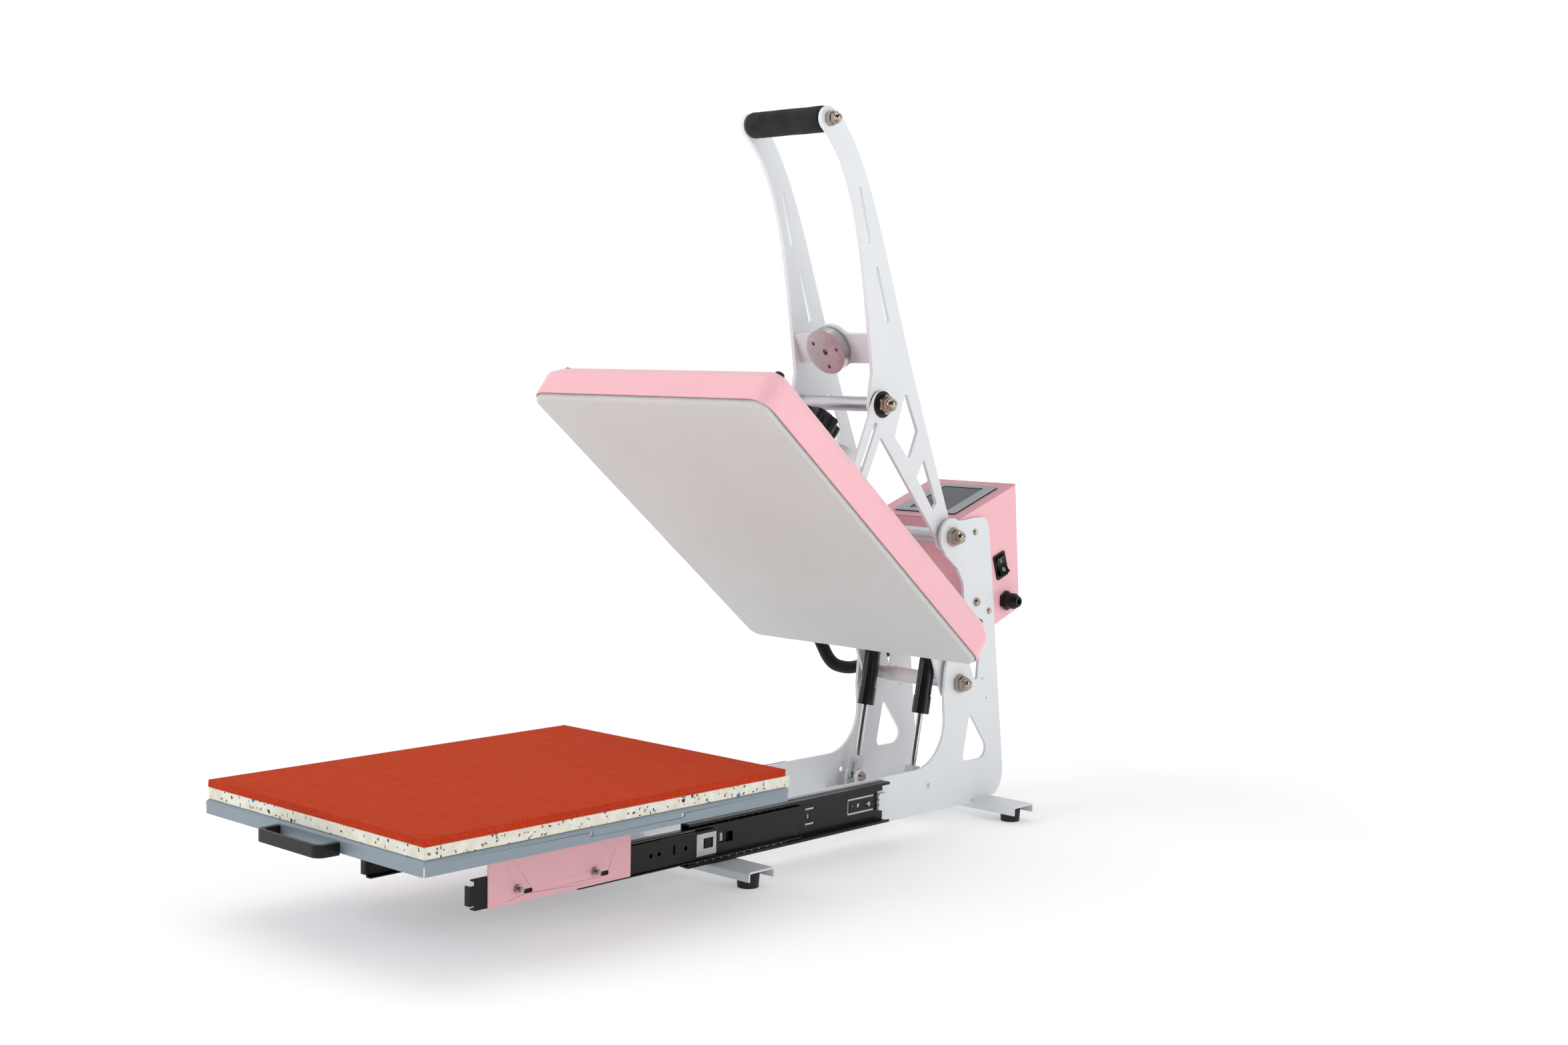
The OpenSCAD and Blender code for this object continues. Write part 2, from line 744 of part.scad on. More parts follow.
module heat_platen() {
    color("silver") placed() with_head() translate([0, head_y, head_low + 1]) linear_extrude(platen_t)
        slab(platen_w, head_l, 12);
}

module heating_element() {
    color("dimgray") placed() with_head() translate([0, head_y, element_z - rod_r])
        linear_extrude(2 * rod_r) element_outline();
}

module insulation() {
    low = element_z + rod_r + gap;
    color("beige") placed() with_head() translate([0, head_y, low])
        linear_extrude(cover_top - sheet_t - low) slab(platen_w - 24, head_l - 24, 8);
}

module platen_cover() {
    color([0.8, 0.78, 0.75]) placed() with_head() difference() {
        translate([0, head_y, head_low]) linear_extrude(16)
            slab(platen_w + 2 * hem, head_l + 2 * hem, 17);
        translate([0, head_y, head_low + 1]) linear_extrude(16) slab(platen_w, head_l, 12);
    }
}

module cover_form(inset) {
    hull() {
        translate([0, head_y, cover_low - (inset > 0 ? 1 : 0)]) linear_extrude(cover_wall)
            slab(cover_w - 2 * inset, cover_l - 2 * inset, 24 - inset);
        translate([0, head_y, cover_top - inset - 1]) linear_extrude(1)
            slab(cover_w - 2 * (cover_in + inset), cover_l - 2 * (cover_in + inset), 16 - inset);
    }
}

module head_cover() {
    color([0.98, 0.77, 0.8]) placed() with_head() difference() {
        cover_form(0);
        cover_form(sheet_t);
    }
}

module cover_caps() {
    color([0.06, 0.06, 0.06]) placed() with_head() for (x = [-1, 1], y = [-1, 1])
        translate([x * (cover_w / 2 - 21), head_y + y * (cover_l / 2 - 21), cover_top])
            cylinder(r1 = 7, r2 = 5.5, h = 5, $fn = 48);
    // rear fitting for the wire conduit
    color([0.06, 0.06, 0.06]) placed() with_head() translate([conduit_x, head_gland[0], head_gland[1]])
        rotate([-90, 0, 0]) cylinder(r = 10.5, h = head_gland_l, $fn = 48);
}

rail_x = handle_out - 4;
arm_low = 16;
screw_r = 9;
module carriage_side() {
    strap_z = carriage_low + arm_low;
    hull() {
        translate(pivot_a) circle(26, $fn = 32);
        translate(spring_top_shut) circle(14, $fn = 32);
        translate([110, strap_z]) circle(arm_low, $fn = 32);
    }
    hull() for (y = [110, head_y - 24]) translate([y, strap_z]) circle(arm_low, $fn = 32);
    hull() {
        translate(pivot_d_shut) circle(16, $fn = 32);
        for (y = [-30, 50]) translate([pivot_d_shut[0] + y, strap_z]) circle(arm_low, $fn = 32);
    }
}

module carriage() {
    deck_z = carriage_low + 26;
    magnet_low = magnet_top - magnet_h;
    stand = 20;
    color("whitesmoke") placed() with_head() {
        both_sides() difference() {
            across(rail_x, 4) carriage_side();
            bar_x(pivot_a, shaft_r + pivot_play, rail_x - 1, handle_out + 1);
        }
        difference() {
            union() {
                translate([-rail_x, head_y - 26, deck_z])
                    cube([2 * rail_x, disc_shut[0] + 56 - head_y, 4]);
                translate([0, head_y, deck_z]) cylinder(r = 16, h = 20, $fn = fine);
            }
            translate([0, head_y, deck_z - 1]) cylinder(r = screw_r + pivot_play, h = 30, $fn = fine);
        }
        for (x = [-44, 44], y = [head_y - 14, disc_shut[0] + 18]) translate([x, y, cover_top])
            cylinder(r = 7, h = deck_z - cover_top, $fn = fine);
        both_sides() translate([stand - 4, disc_shut[0] - stand, deck_z + 4])
            cube([4, 2 * stand, magnet_low - deck_z - 8]);
        translate([-stand, disc_shut[0] - stand, magnet_low - 4]) cube([2 * stand, 2 * stand, 4]);
    }
}

module carriage_pins() {
    color("silver") placed() with_head() both_sides() {
        bar_x(spring_top_shut, 5, spring_x + 7 + gap, rail_x);
        translate([rail_x - 7, pivot_d_shut[0], pivot_d_shut[1]]) rotate([0, 90, 0])
            cylinder(r = hex_r, h = 7, $fn = 6);
    }
}

module electromagnet() {
    color("dimgray") placed() with_head() translate([0, disc_shut[0], magnet_top - magnet_h])
        difference() {
            cylinder(r = magnet_r, h = magnet_h, $fn = fine);
            translate([0, 0, magnet_h - 2]) ring_slot(magnet_r - 6, magnet_r - 12, 3);
        }
}

module ring_slot(r_out, r_in, h) {
    difference() {
        cylinder(r = r_out, h = h, $fn = fine);
        translate([0, 0, -1]) cylinder(r = r_in, h = h + 2, $fn = fine);
    }
}

module pressure_screw() {
    color("silver") placed() with_head() translate([0, head_y, cover_top + gap])
        cylinder(r = screw_r, h = knob_z - cover_top - gap + 10, $fn = fine);
}

module pressure_knob() {
    lobes = 7;
    color([0.05, 0.05, 0.05]) placed() with_head() translate([0, head_y, knob_z]) difference() {
        union() {
            linear_extrude(20) rounded(3) eased(3) union() {
                circle(knob_r - 5, $fn = fine);
                for (i = [0:lobes - 1]) rotate([0, 0, i * 360 / lobes])
                    translate([knob_r - 8, 0]) circle(8, $fn = 32);
            }
            translate([0, 0, 20]) cylinder(r1 = knob_r - 6, r2 = knob_r - 10, h = 5, $fn = fine);
        }
        translate([0, 0, -1]) cylinder(r = screw_r, h = 11, $fn = fine);
    }
}

// ---------- handle ----------

module arm_profile() {
    front = curve([-83, 897], [-20, 850], [-5, 760], [19, 600]);
    rear = curve([99, 600], [36, 755], [5, 870], [-60, 921]);
    difference() {
        rounded(4) union() {
            polygon(concat(front, [[15, 575], [15, 545], [30, 525], [40, 516], [158, 382],
                [194, 392], [182, 408]], rear));
            translate(grip_at) circle(15, $fn = fine);
            translate(pivot_c) circle(19, $fn = fine);
            translate(pivot_b) circle(20, $fn = fine);
        }
        tapered_slot([-13, 828], [6, 765], 2.6, 3.4);
        tapered_slot([23, 731], [45, 668], 2.6, 4);
        rounded(4) polygon([[85, 579], [112, 525], [96, 488], [66, 518]]);
        rounded(2) polygon([[126, 489], [112, 465], [147, 421], [155, 430]]);
    }
}

module tapered_slot(a, b, ra, rb) {
    hull() {
        translate(a) circle(ra, $fn = 32);
        translate(b) circle(rb, $fn = 32);
    }
}

tab_l = 24;
module handle_arm() {
    difference() {
        across(handle_in, arm_t) arm_profile();
        bar_x(pivot_b, shaft_r + pivot_play, handle_in - 1, handle_out + 1);
        bar_x(pivot_c, shaft_r, handle_in - 1, handle_out + 1);
        bar_x(grip_at, grip_rod_r, handle_in - 1, handle_out + 1);
        on_armature() cube([200, tab_l + 0.2, arm_t + 0.2], center = true);
    }
}

module handle_arm_right() { color("whitesmoke") placed() handle_arm(); }
module handle_arm_left() { color("whitesmoke") placed() mirror([1, 0, 0]) handle_arm(); }

// Local X runs across, local Y up the plate, local Z out of its front
module on_armature() {
    translate([0, plate_mid[0], plate_mid[1]]) rotate([90 + disc_tilt, 0, 0]) children();
}

module armature_plate() {
    color("whitesmoke") placed() on_armature() translate([0, 0, -arm_t / 2]) linear_extrude(arm_t) {
        eased(14) union() {
            square([2 * handle_in, 40], center = true);
            translate([0, disc_up]) circle(30, $fn = fine);
        }
        square([2 * handle_out, tab_l], center = true);
    }
}

module armature_disc() {
    color("silver") placed() on_armature() translate([0, disc_up, arm_t / 2]) difference() {
        union() {
            cylinder(r = disc_r - 3, h = disc_ring_t, $fn = fine);
            translate([0, 0, disc_ring_t]) cylinder(r = disc_r, h = disc_t, $fn = fine);
        }
        for (a = [10, 144, 270]) rotate([0, 0, a]) translate([disc_r * 0.66, 0, disc_ring_t + 7])
            cylinder(r = 2.6, h = 5, $fn = 32);
        translate([0, 0, disc_ring_t + 6]) cylinder(r = 4, h = 5, $fn = 32);
    }
}

module grip_rod() {
    color("silver") placed() {
        bar_x(grip_at, grip_rod_r, -handle_out - 3, handle_out + 6);
        bar_x(grip_at, 2 * grip_rod_r - 1, -handle_out - 3.5, -handle_out);
    }
}

module foam_grip() {
    color([0.05, 0.05, 0.05]) placed() ring_x(grip_at, grip_r, grip_rod_r, -handle_in + gap,
        2 * (handle_in - gap));
}

module handle_cross_tube() {
    color("gainsboro") placed() ring_x(pivot_c, shaft_r + 2.5, shaft_r, -handle_in, 2 * handle_in);
}

shaft_out = link_out + gap + 1.5;
module handle_shaft() {
    reach = shaft_out + hex_h * 1.4;
    color("silver") placed() bar_x(pivot_c, shaft_r, -reach, reach);
}

module handle_washers() {
    color([0.07, 0.07, 0.07]) placed() both_sides() for (x = [handle_out, link_out + gap])
        ring_x(pivot_c, 17, shaft_r, x, 1.5);
}

module handle_nuts() {
    color("silver") placed() {
        both_sides() nut_pair(pivot_c, shaft_out);
        nut_pair(grip_at, handle_out, grip_rod_r);
    }
}

module link() {
    d = pivot_d_open;
    along = [-sin(link_lean), -cos(link_lean)];
    difference() {
        across(link_in, link_t) difference() {
            hull() {
                translate(pivot_c) circle(17, $fn = 32);
                translate(d) circle(15, $fn = 32);
            }
            hull() for (s = [28, 92]) translate(pivot_c + s * along) circle(3, $fn = 32);
        }
        bar_x(pivot_c, shaft_r + pivot_play, link_in - 1, link_out + 1);
    }
    nut_pair(d, link_out);
}

module link_right() { color("whitesmoke") placed() link(); }
module link_left() { color("whitesmoke") placed() mirror([1, 0, 0]) link(); }

// ---------- gas springs ----------

clevis_w = 14;
module spring_rods() {
    rod_top = 150;
    color("silver") placed() both_sides() along_spring() {
        difference() {
            union() {
                translate([-clevis_w / 2, -clevis_w / 2, 0]) cube([clevis_w, clevis_w, 28]);
                rotate([0, 90, 0]) cylinder(r = clevis_w / 2, h = clevis_w, center = true, $fn = fine);
            }
            rotate([0, 90, 0]) cylinder(r = 4 + pivot_play, h = 20, center = true, $fn = fine);
            translate([-2.5, -10, -10]) cube([5, 20, 28]);
        }
        translate([0, 0, 27]) cylinder(r = rod_d / 2, h = rod_top - 27, $fn = fine);
        translate([0, 0, rod_top]) cylinder(r = cylinder_d / 2 - 1.7, h = 7, $fn = fine);
    }
}

module spring_cylinders() {
    low = 98;
    top = spring_len - 16;
    r = cylinder_d / 2;
    color([0.07, 0.07, 0.07]) placed() both_sides() along_spring() {
        difference() {
            union() {
                translate([0, 0, low]) cylinder(r = r + 0.7, h = 24, $fn = fine);
                translate([0, 0, low + 24]) cylinder(r = r - 0.6, h = 1.6, $fn = fine);
                translate([0, 0, low + 25.6]) cylinder(r = r, h = top - low - 25.6, $fn = fine);
                translate([0, 0, top]) cylinder(r = 6, h = 10, $fn = fine);
                translate([0, 0, spring_len]) rotate([0, 90, 0])
                    cylinder(r = 9, h = clevis_w, center = true, $fn = fine);
            }
            translate([0, 0, low - 1]) cylinder(r = rod_d / 2 + 0.1, h = 12, $fn = fine);
            translate([0, 0, low + 8]) cylinder(r = r - 1.5, h = top - low - 12, $fn = fine);
        }
    }
}

side_plate_left();
side_plate_right();
cross_bars();
rubber_feet();
spring_bracket();
bracket_screws();
pivot_shafts();
lower_pivot_tube();
lower_pivot_sleeve();
upper_pivot_tube();
pivot_spacers();
pivot_nuts();
plate_screws();
slide_outer_left();
slide_outer_right();
control_box();
control_panel();
screen_bezel();
screen_glass();
switch_housing();
switch_rocker();
cable_gland();
control_board();
wire_conduit();
foam_pad();
press_board();
tray();
pull_handle();
tray_bracket_left();
tray_bracket_right();
bracket_nuts();
slide_inner_left();
slide_inner_right();
slide_middle_left();
slide_middle_right();
heat_platen();
heating_element();
insulation();
platen_cover();
head_cover();
cover_caps();
carriage();
carriage_pins();
electromagnet();
pressure_screw();
pressure_knob();
handle_arm_left();
handle_arm_right();
grip_rod();
foam_grip();
armature_plate();
armature_disc();
handle_cross_tube();
handle_shaft();
handle_washers();
handle_nuts();
link_left();
link_right();
spring_rods();
spring_cylinders();
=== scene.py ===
# %% [markdown]
# # A clamshell heat press in a white studio
# The machine comes in as a frame of CAD pieces in metres. This script leaves those pieces where they
# are, gives each one a finish, replaces the soft ones, and adds the small parts a maker would notice.

# %% Load the frame
import math
import bmesh
import bpy
from mathutils import Matrix, Vector


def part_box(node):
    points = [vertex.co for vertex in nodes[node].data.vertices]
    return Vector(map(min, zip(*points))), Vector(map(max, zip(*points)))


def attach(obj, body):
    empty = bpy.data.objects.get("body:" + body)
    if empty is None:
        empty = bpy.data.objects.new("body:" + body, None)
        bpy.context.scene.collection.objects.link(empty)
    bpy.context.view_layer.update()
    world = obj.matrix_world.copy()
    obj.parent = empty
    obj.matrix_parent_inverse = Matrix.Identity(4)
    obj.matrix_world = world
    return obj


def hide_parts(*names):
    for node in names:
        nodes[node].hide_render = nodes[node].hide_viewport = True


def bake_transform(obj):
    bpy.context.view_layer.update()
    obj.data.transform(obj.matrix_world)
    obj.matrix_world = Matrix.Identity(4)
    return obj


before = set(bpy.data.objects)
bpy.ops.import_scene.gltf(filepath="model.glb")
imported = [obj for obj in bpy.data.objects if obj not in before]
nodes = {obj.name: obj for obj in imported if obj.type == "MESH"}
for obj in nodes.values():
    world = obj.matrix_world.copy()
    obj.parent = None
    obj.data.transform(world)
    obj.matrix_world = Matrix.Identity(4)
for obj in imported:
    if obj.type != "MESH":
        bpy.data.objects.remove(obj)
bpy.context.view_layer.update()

# %% [markdown]
# ## The camera
# The machine is seen from a little above the table with a normal lens, standing off its right front
# corner. The camera is set by its place and three angles, so its axes are worked out first and put
# in a matrix as columns.

# %% Camera
turn, tip, lean = (math.radians(a) for a in (42.689, 4.272, 1.052))
back = Vector((math.sin(turn) * math.cos(tip), -math.cos(turn) * math.cos(tip), math.sin(tip)))
level = Vector((math.cos(turn), math.sin(turn), 0))
above = back.cross(level)
cam_x = math.cos(lean) * level + math.sin(lean) * above
cam_y = -math.sin(lean) * level + math.cos(lean) * above
camera = bpy.data.objects.new("camera", bpy.data.cameras.new("camera"))
bpy.context.scene.collection.objects.link(camera)
camera.matrix_world = Matrix.Translation((1.7108, -1.6910, 0.5979)) @ Matrix(
    (cam_x, cam_y, back)).transposed().to_4x4()
camera.data.lens = 46.04
camera.data.sensor_width = 36
camera.data.clip_end = 60
bpy.context.scene.camera = camera
print("lens", camera.data.lens)

# %% [markdown]
# ## The studio
# A white sweep lights white paint evenly, so the shapes only read by soft shade. The world is white
# where it is seen directly, but the light it gives is brighter near the horizon than overhead and
# darker on the camera's side, so that plated metal has something dark to reflect. Soft lamps give
# the direction. The floor is a wide disc that glows a little far out, so its edge melts away.

# %% Floor and light
def studio_floor():
    bm = bmesh.new()
    bmesh.ops.create_circle(bm, cap_ends=True, segments=96, radius=30)
    mesh = bpy.data.meshes.new("floor")
    bm.to_mesh(mesh)
    bm.free()
    floor = bpy.data.objects.new("floor", mesh)
    bpy.context.scene.collection.objects.link(floor)
    paint = bpy.data.materials.new("studio white")
    paint.use_nodes = True
    bsdf = paint.node_tree.nodes["Principled BSDF"]
    bsdf.inputs["Base Color"].default_value = (0.93, 0.93, 0.93, 1)
    bsdf.inputs["Roughness"].default_value = 0.9
    bsdf.inputs["Specular IOR Level"].default_value = 0.1
    tree = paint.node_tree
    where = tree.nodes.new("ShaderNodeTexCoord")
    away = tree.nodes.new("ShaderNodeVectorMath")
    away.operation = "LENGTH"
    tree.links.new(where.outputs["Object"], away.inputs[0])
    glow = tree.nodes.new("ShaderNodeMapRange")
    for key, value in (("From Min", 0.9), ("From Max", 3.5), ("To Min", 0.26), ("To Max", 1.0)):
        glow.inputs[key].default_value = value
    tree.links.new(away.outputs["Value"], glow.inputs["Value"])
    tree.links.new(glow.outputs[0], bsdf.inputs["Emission Strength"])
    bsdf.inputs["Emission Color"].default_value = (1, 1, 1, 1)
    mesh.materials.append(paint)
    return floor


def soft_lamp(name, place, target, size, power):
    lamp = bpy.data.objects.new(name, bpy.data.lights.new(name, "AREA"))
    lamp.data.shape = "RECTANGLE"
    lamp.data.size, lamp.data.size_y = size
    lamp.data.energy = power
    lamp.location = place
    lamp.rotation_euler = (Vector(target) - Vector(place)).to_track_quat("-Z", "Y").to_euler()
    bpy.context.scene.collection.objects.link(lamp)
    return lamp


studio_floor()
world = bpy.data.worlds.new("white studio")
bpy.context.scene.world = world
world.use_nodes = True


def sky_part(tree, facing, start, end, low, high):
    """A value that changes with how far a ray points along one direction."""
    ray = tree.nodes.new("ShaderNodeTexCoord")
    dot = tree.nodes.new("ShaderNodeVectorMath")
    dot.operation = "DOT_PRODUCT"
    dot.inputs[1].default_value = facing
    tree.links.new(ray.outputs["Generated"], dot.inputs[0])
    ramp = tree.nodes.new("ShaderNodeMapRange")
    ramp.interpolation_type = "SMOOTHSTEP"
    for key, value in (("From Min", start), ("From Max", end), ("To Min", low), ("To Max", high)):
        ramp.inputs[key].default_value = value
    tree.links.new(dot.outputs["Value"], ramp.inputs["Value"])
    return ramp.outputs[0]


tree = world.node_tree
overhead = sky_part(tree, (0, 0, 1), 0.25, 0.95, 0.8, 0.5)
near_side = sky_part(tree, (0.68, -0.73, 0), 0.2, 0.95, 1.0, 0.42)
product = tree.nodes.new("ShaderNodeMath")
product.operation = "MULTIPLY"
tree.links.new(overhead, product.inputs[0])
tree.links.new(near_side, product.inputs[1])
path = tree.nodes.new("ShaderNodeLightPath")
mirrored = sky_part(tree, (0.68, -0.73, 0), -0.35, 0.7, 0.95, 0.06)
chosen = tree.nodes.new("ShaderNodeMix")
tree.links.new(path.outputs["Is Glossy Ray"], chosen.inputs[0])
tree.links.new(product.outputs[0], chosen.inputs[2])
tree.links.new(mirrored, chosen.inputs[3])
seen = tree.nodes.new("ShaderNodeMath")
seen.operation = "MAXIMUM"
tree.links.new(chosen.outputs[0], seen.inputs[0])
tree.links.new(path.outputs["Is Camera Ray"], seen.inputs[1])
tree.nodes["Background"].inputs["Color"].default_value = (1, 1, 1, 1)
tree.links.new(seen.outputs[0], tree.nodes["Background"].inputs["Strength"])
soft_lamp("top", (-0.6, -0.4, 3.0), (0, 0, 0.2), (2.4, 2.4), 19)
soft_lamp("front", (-1.6, -3.2, 1.9), (0, -0.1, 0.4), (1.6, 2.0), 30)
soft_lamp("side", (3.6, 0.3, 1.7), (0, 0.1, 0.4), (1.5, 1.9), 25)
bpy.context.scene.view_settings.view_transform = "Standard"

# %% [markdown]
# ## Surface effects that several finishes share
# Paint, plating and cloth all need small changes of tone and a fine relief. Each effect is a node
# group: the material gives it its own colour and size, and the shader stays in the material.

# %% Node group helper
def group(name, inputs, outputs):
    """An empty shader group with (name, kind, default) inputs and (name, kind) outputs."""
    tree = bpy.data.node_groups.new(name, "ShaderNodeTree")
    for label, kind, value in inputs:
        socket = tree.interface.new_socket(label, in_out="INPUT", socket_type="NodeSocket" + kind)
        socket.default_value = value
    for label, kind in outputs:
        tree.interface.new_socket(label, in_out="OUTPUT", socket_type="NodeSocket" + kind)
    return tree, tree.nodes.new("NodeGroupInput"), tree.nodes.new("NodeGroupOutput")


def add(tree, kind, links=(), **values):
    """A node with its settings, and links as (input, socket) pairs."""
    made = tree.nodes.new("ShaderNode" + kind)
    for key, value in values.items():
        setattr(made, key, value)
    for socket, source in links:
        if hasattr(source, "is_output"):
            tree.links.new(source, made.inputs[socket])
        else:
            made.inputs[socket].default_value = source
    return made


def place(tree, turn=(0, 0, 0)):
    """Object coordinates, turned."""
    where = add(tree, "TexCoord").outputs["Object"]
    return add(tree, "Mapping", [("Vector", where), ("Rotation", turn)]).outputs[0]


def blotch(tree, where, scale, low, high, detail=3.0):
    """Soft noise between two values."""
    noise = add(tree, "TexNoise", [("Vector", where), ("Scale", scale), ("Detail", detail)])
    spread = add(tree, "MapRange", [("Value", noise.outputs["Fac"]), ("From Min", 0.3),
                 ("From Max", 0.7), ("To Min", low), ("To Max", high)])
    return spread.outputs[0]


def shade(tree, colour, factor):
    """The colour with its brightness multiplied."""
    return add(tree, "HueSaturation", [("Color", colour), ("Value", factor)]).outputs[0]


# %% [markdown]
# ### Powder coat
# Baked powder paint is slightly bumpy, like fine orange peel, and its sheen changes a little from
# place to place. One fine noise makes the relief and two broad ones move the tone and the gloss.

# %% Powder coat group
def make_coat():
    tree, given, out = group("powder coat", [("Colour", "Color", (1, 1, 1, 1)),
        ("Gloss low", "Float", 0.34), ("Gloss high", "Float", 0.46), ("Peel size", "Float", 650.0)],
        [("Colour", "Color"), ("Roughness", "Float"), ("Height", "Float")])
    where = place(tree)
    tone = blotch(tree, where, 7.0, 0.975, 1.015)
    tree.links.new(shade(tree, given.outputs["Colour"], tone), out.inputs["Colour"])
    sheen = add(tree, "TexNoise", [("Vector", where), ("Scale", 26.0), ("Detail", 4.0)])
    gloss = add(tree, "MapRange", [("Value", sheen.outputs["Fac"]), ("From Min", 0.3),
        ("From Max", 0.7), ("To Min", given.outputs["Gloss low"]),
        ("To Max", given.outputs["Gloss high"])])
    tree.links.new(gloss.outputs[0], out.inputs["Roughness"])
    peel = add(tree, "TexNoise", [("Vector", where), ("Scale", given.outputs["Peel size"]),
        ("Detail", 2.0)])
    tree.links.new(peel.outputs["Fac"], out.inputs["Height"])
    return tree


coat_group = make_coat()

# %% [markdown]
# ### Drawn and plated metal
# Plated steel keeps the fine lines of the drawing or turning under the bright layer. Noise that is
# stretched many times along one axis makes the lines, and a broad noise makes the cloudy plating.

# %% Metal group
def make_metal():
    tree, given, out = group("plated metal", [("Colour", "Color", (1, 1, 1, 1)),
        ("Lines", "Vector", (1, 40, 40)), ("Rough low", "Float", 0.15), ("Rough high", "Float", 0.3),
        ("Cloud", "Float", 0.06)],
        [("Colour", "Color"), ("Roughness", "Float"), ("Height", "Float")])
    where = add(tree, "TexCoord").outputs["Object"]
    drawn = add(tree, "VectorMath", [(0, where), (1, given.outputs["Lines"])], operation="MULTIPLY")
    lines = add(tree, "TexNoise", [("Vector", drawn.outputs[0]), ("Scale", 18.0), ("Detail", 4.0)])
    cloud = add(tree, "TexNoise", [("Vector", where), ("Scale", 45.0), ("Detail", 3.0)])
    down = add(tree, "Math", [(0, 1.0), (1, given.outputs["Cloud"])], operation="SUBTRACT")
    up = add(tree, "Math", [(0, 1.0), (1, given.outputs["Cloud"])], operation="ADD")
    tone = add(tree, "MapRange", [("Value", cloud.outputs["Fac"]), ("From Min", 0.3),
        ("From Max", 0.7), ("To Min", down.outputs[0]), ("To Max", up.outputs[0])])
    tree.links.new(shade(tree, given.outputs["Colour"], tone.outputs[0]), out.inputs["Colour"])
    rough = add(tree, "MapRange", [("Value", lines.outputs["Fac"]), ("From Min", 0.3),
        ("From Max", 0.7), ("To Min", given.outputs["Rough low"]),
        ("To Max", given.outputs["Rough high"])])
    tree.links.new(rough.outputs[0], out.inputs["Roughness"])
    tree.links.new(lines.outputs["Fac"], out.inputs["Height"])
    return tree


metal_group = make_metal()

# %% [markdown]
# ### Open cells
# Sponge rubber and handle foam show tiny bubbles where they are cut. A Voronoi pattern is a field of
# cells; the distance from each cell's middle makes the pits, with painted shade in their bottoms.

# %% Cell group
def make_cells():
    tree, given, out = group("open cells", [("Colour", "Color", (1, 1, 1, 1)),
        ("Cell size", "Float", 900.0), ("Pit shade", "Float", 0.6)],
        [("Colour", "Color"), ("Roughness", "Float"), ("Height", "Float")])
    where = place(tree)
    cells = add(tree, "TexVoronoi", [("Vector", where), ("Scale", given.outputs["Cell size"]),
        ("Randomness", 1.0)])
    grain = add(tree, "TexNoise", [("Vector", where), ("Scale", 300.0), ("Detail", 5.0)])
    # Painted shade: the colour darkens towards the bottom of each cell pit.
    pit = add(tree, "MapRange", [("Value", cells.outputs["Distance"]), ("From Min", 0.1),
        ("From Max", 0.5), ("To Min", given.outputs["Pit shade"]), ("To Max", 1.0)])
    broad = blotch(tree, where, 9.0, 0.95, 1.05)
    both = add(tree, "Math", [(0, pit.outputs[0]), (1, broad)], operation="MULTIPLY")
    tree.links.new(shade(tree, given.outputs["Colour"], both.outputs[0]), out.inputs["Colour"])
    height = add(tree, "Math", [(0, cells.outputs["Distance"]), (1, grain.outputs["Fac"])],
        operation="ADD")
    tree.links.new(height.outputs[0], out.inputs["Height"])
    rough = blotch(tree, where, 60.0, 0.78, 0.95)
    tree.links.new(rough, out.inputs["Roughness"])
    return tree


cell_group = make_cells()

# %% [markdown]
# ## The finishes
# Each finish is one Principled shader. The group feeds colour, roughness and, through a Bump node,
# the normal. Anything that is the same all over, such as metalness, stays on the shader itself.

# %% Finish helper
def srgb(r, g, b):
    """Screen colour 0 to 255 as linear light."""
    def one(c):
        c /= 255
        return c / 12.92 if c <= 0.04045 else ((c + 0.055) / 1.055) ** 2.4
    return (one(r), one(g), one(b), 1)


def finish(name, effect, colour, relief, deep=0.0001, metallic=0.0, shader=(), **given):
    """A material from one shared effect; relief is the bump's strength and deep its depth in metres."""
    made = bpy.data.materials.new(name)
    made.use_nodes = True
    tree = made.node_tree
    bsdf = tree.nodes["Principled BSDF"]
    bsdf.inputs["Metallic"].default_value = metallic
    for socket, value in shader:
        bsdf.inputs[socket].default_value = value
    skin = tree.nodes.new("ShaderNodeGroup")
    skin.node_tree = effect
    skin.inputs["Colour"].default_value = colour
    for key, value in given.items():
        skin.inputs[key.replace("_", " ")].default_value = value
    tree.links.new(skin.outputs["Colour"], bsdf.inputs["Base Color"])
    tree.links.new(skin.outputs["Roughness"], bsdf.inputs["Roughness"])
    bump = add(tree, "Bump", [("Strength", relief), ("Distance", deep),
        ("Height", skin.outputs["Height"])])
    tree.links.new(bump.outputs[0], bsdf.inputs["Normal"])
    return made


# %% Paint, metal and plastic
white_paint = finish("white powder coat", coat_group, srgb(226, 230, 233), 0.25)
pink_paint = finish("pink powder coat", coat_group, srgb(247, 187, 196), 0.25)
panel_paint = finish("panel pink", coat_group, srgb(206, 148, 157), 0.25)
tray_paint = finish("grey tray coat", coat_group, srgb(140, 153, 163), 0.3, metallic=0.35,
    Gloss_low=0.36, Gloss_high=0.5)
black_coat = finish("black electrocoat", coat_group, srgb(12, 12, 12), 0.15, Gloss_low=0.26,
    Gloss_high=0.36, shader=[("Specular IOR Level", 0.3)])
spring_coat = finish("black spring lacquer", coat_group, srgb(16, 16, 17), 0.05, Gloss_low=0.16,
    Gloss_high=0.26)
nickel = finish("bright nickel", metal_group, srgb(172, 162, 150), 0.05, metallic=1.0,
    Rough_low=0.1, Rough_high=0.2)
zinc = finish("zinc plate", metal_group, srgb(186, 187, 190), 0.15, metallic=1.0,
    Rough_low=0.25, Rough_high=0.42, Cloud=0.1)
chrome_rod = finish("ground rod", metal_group, srgb(214, 214, 214), 0.03, metallic=1.0,
    Lines=(60.0, 60.0, 1.0), Rough_low=0.06, Rough_high=0.12)
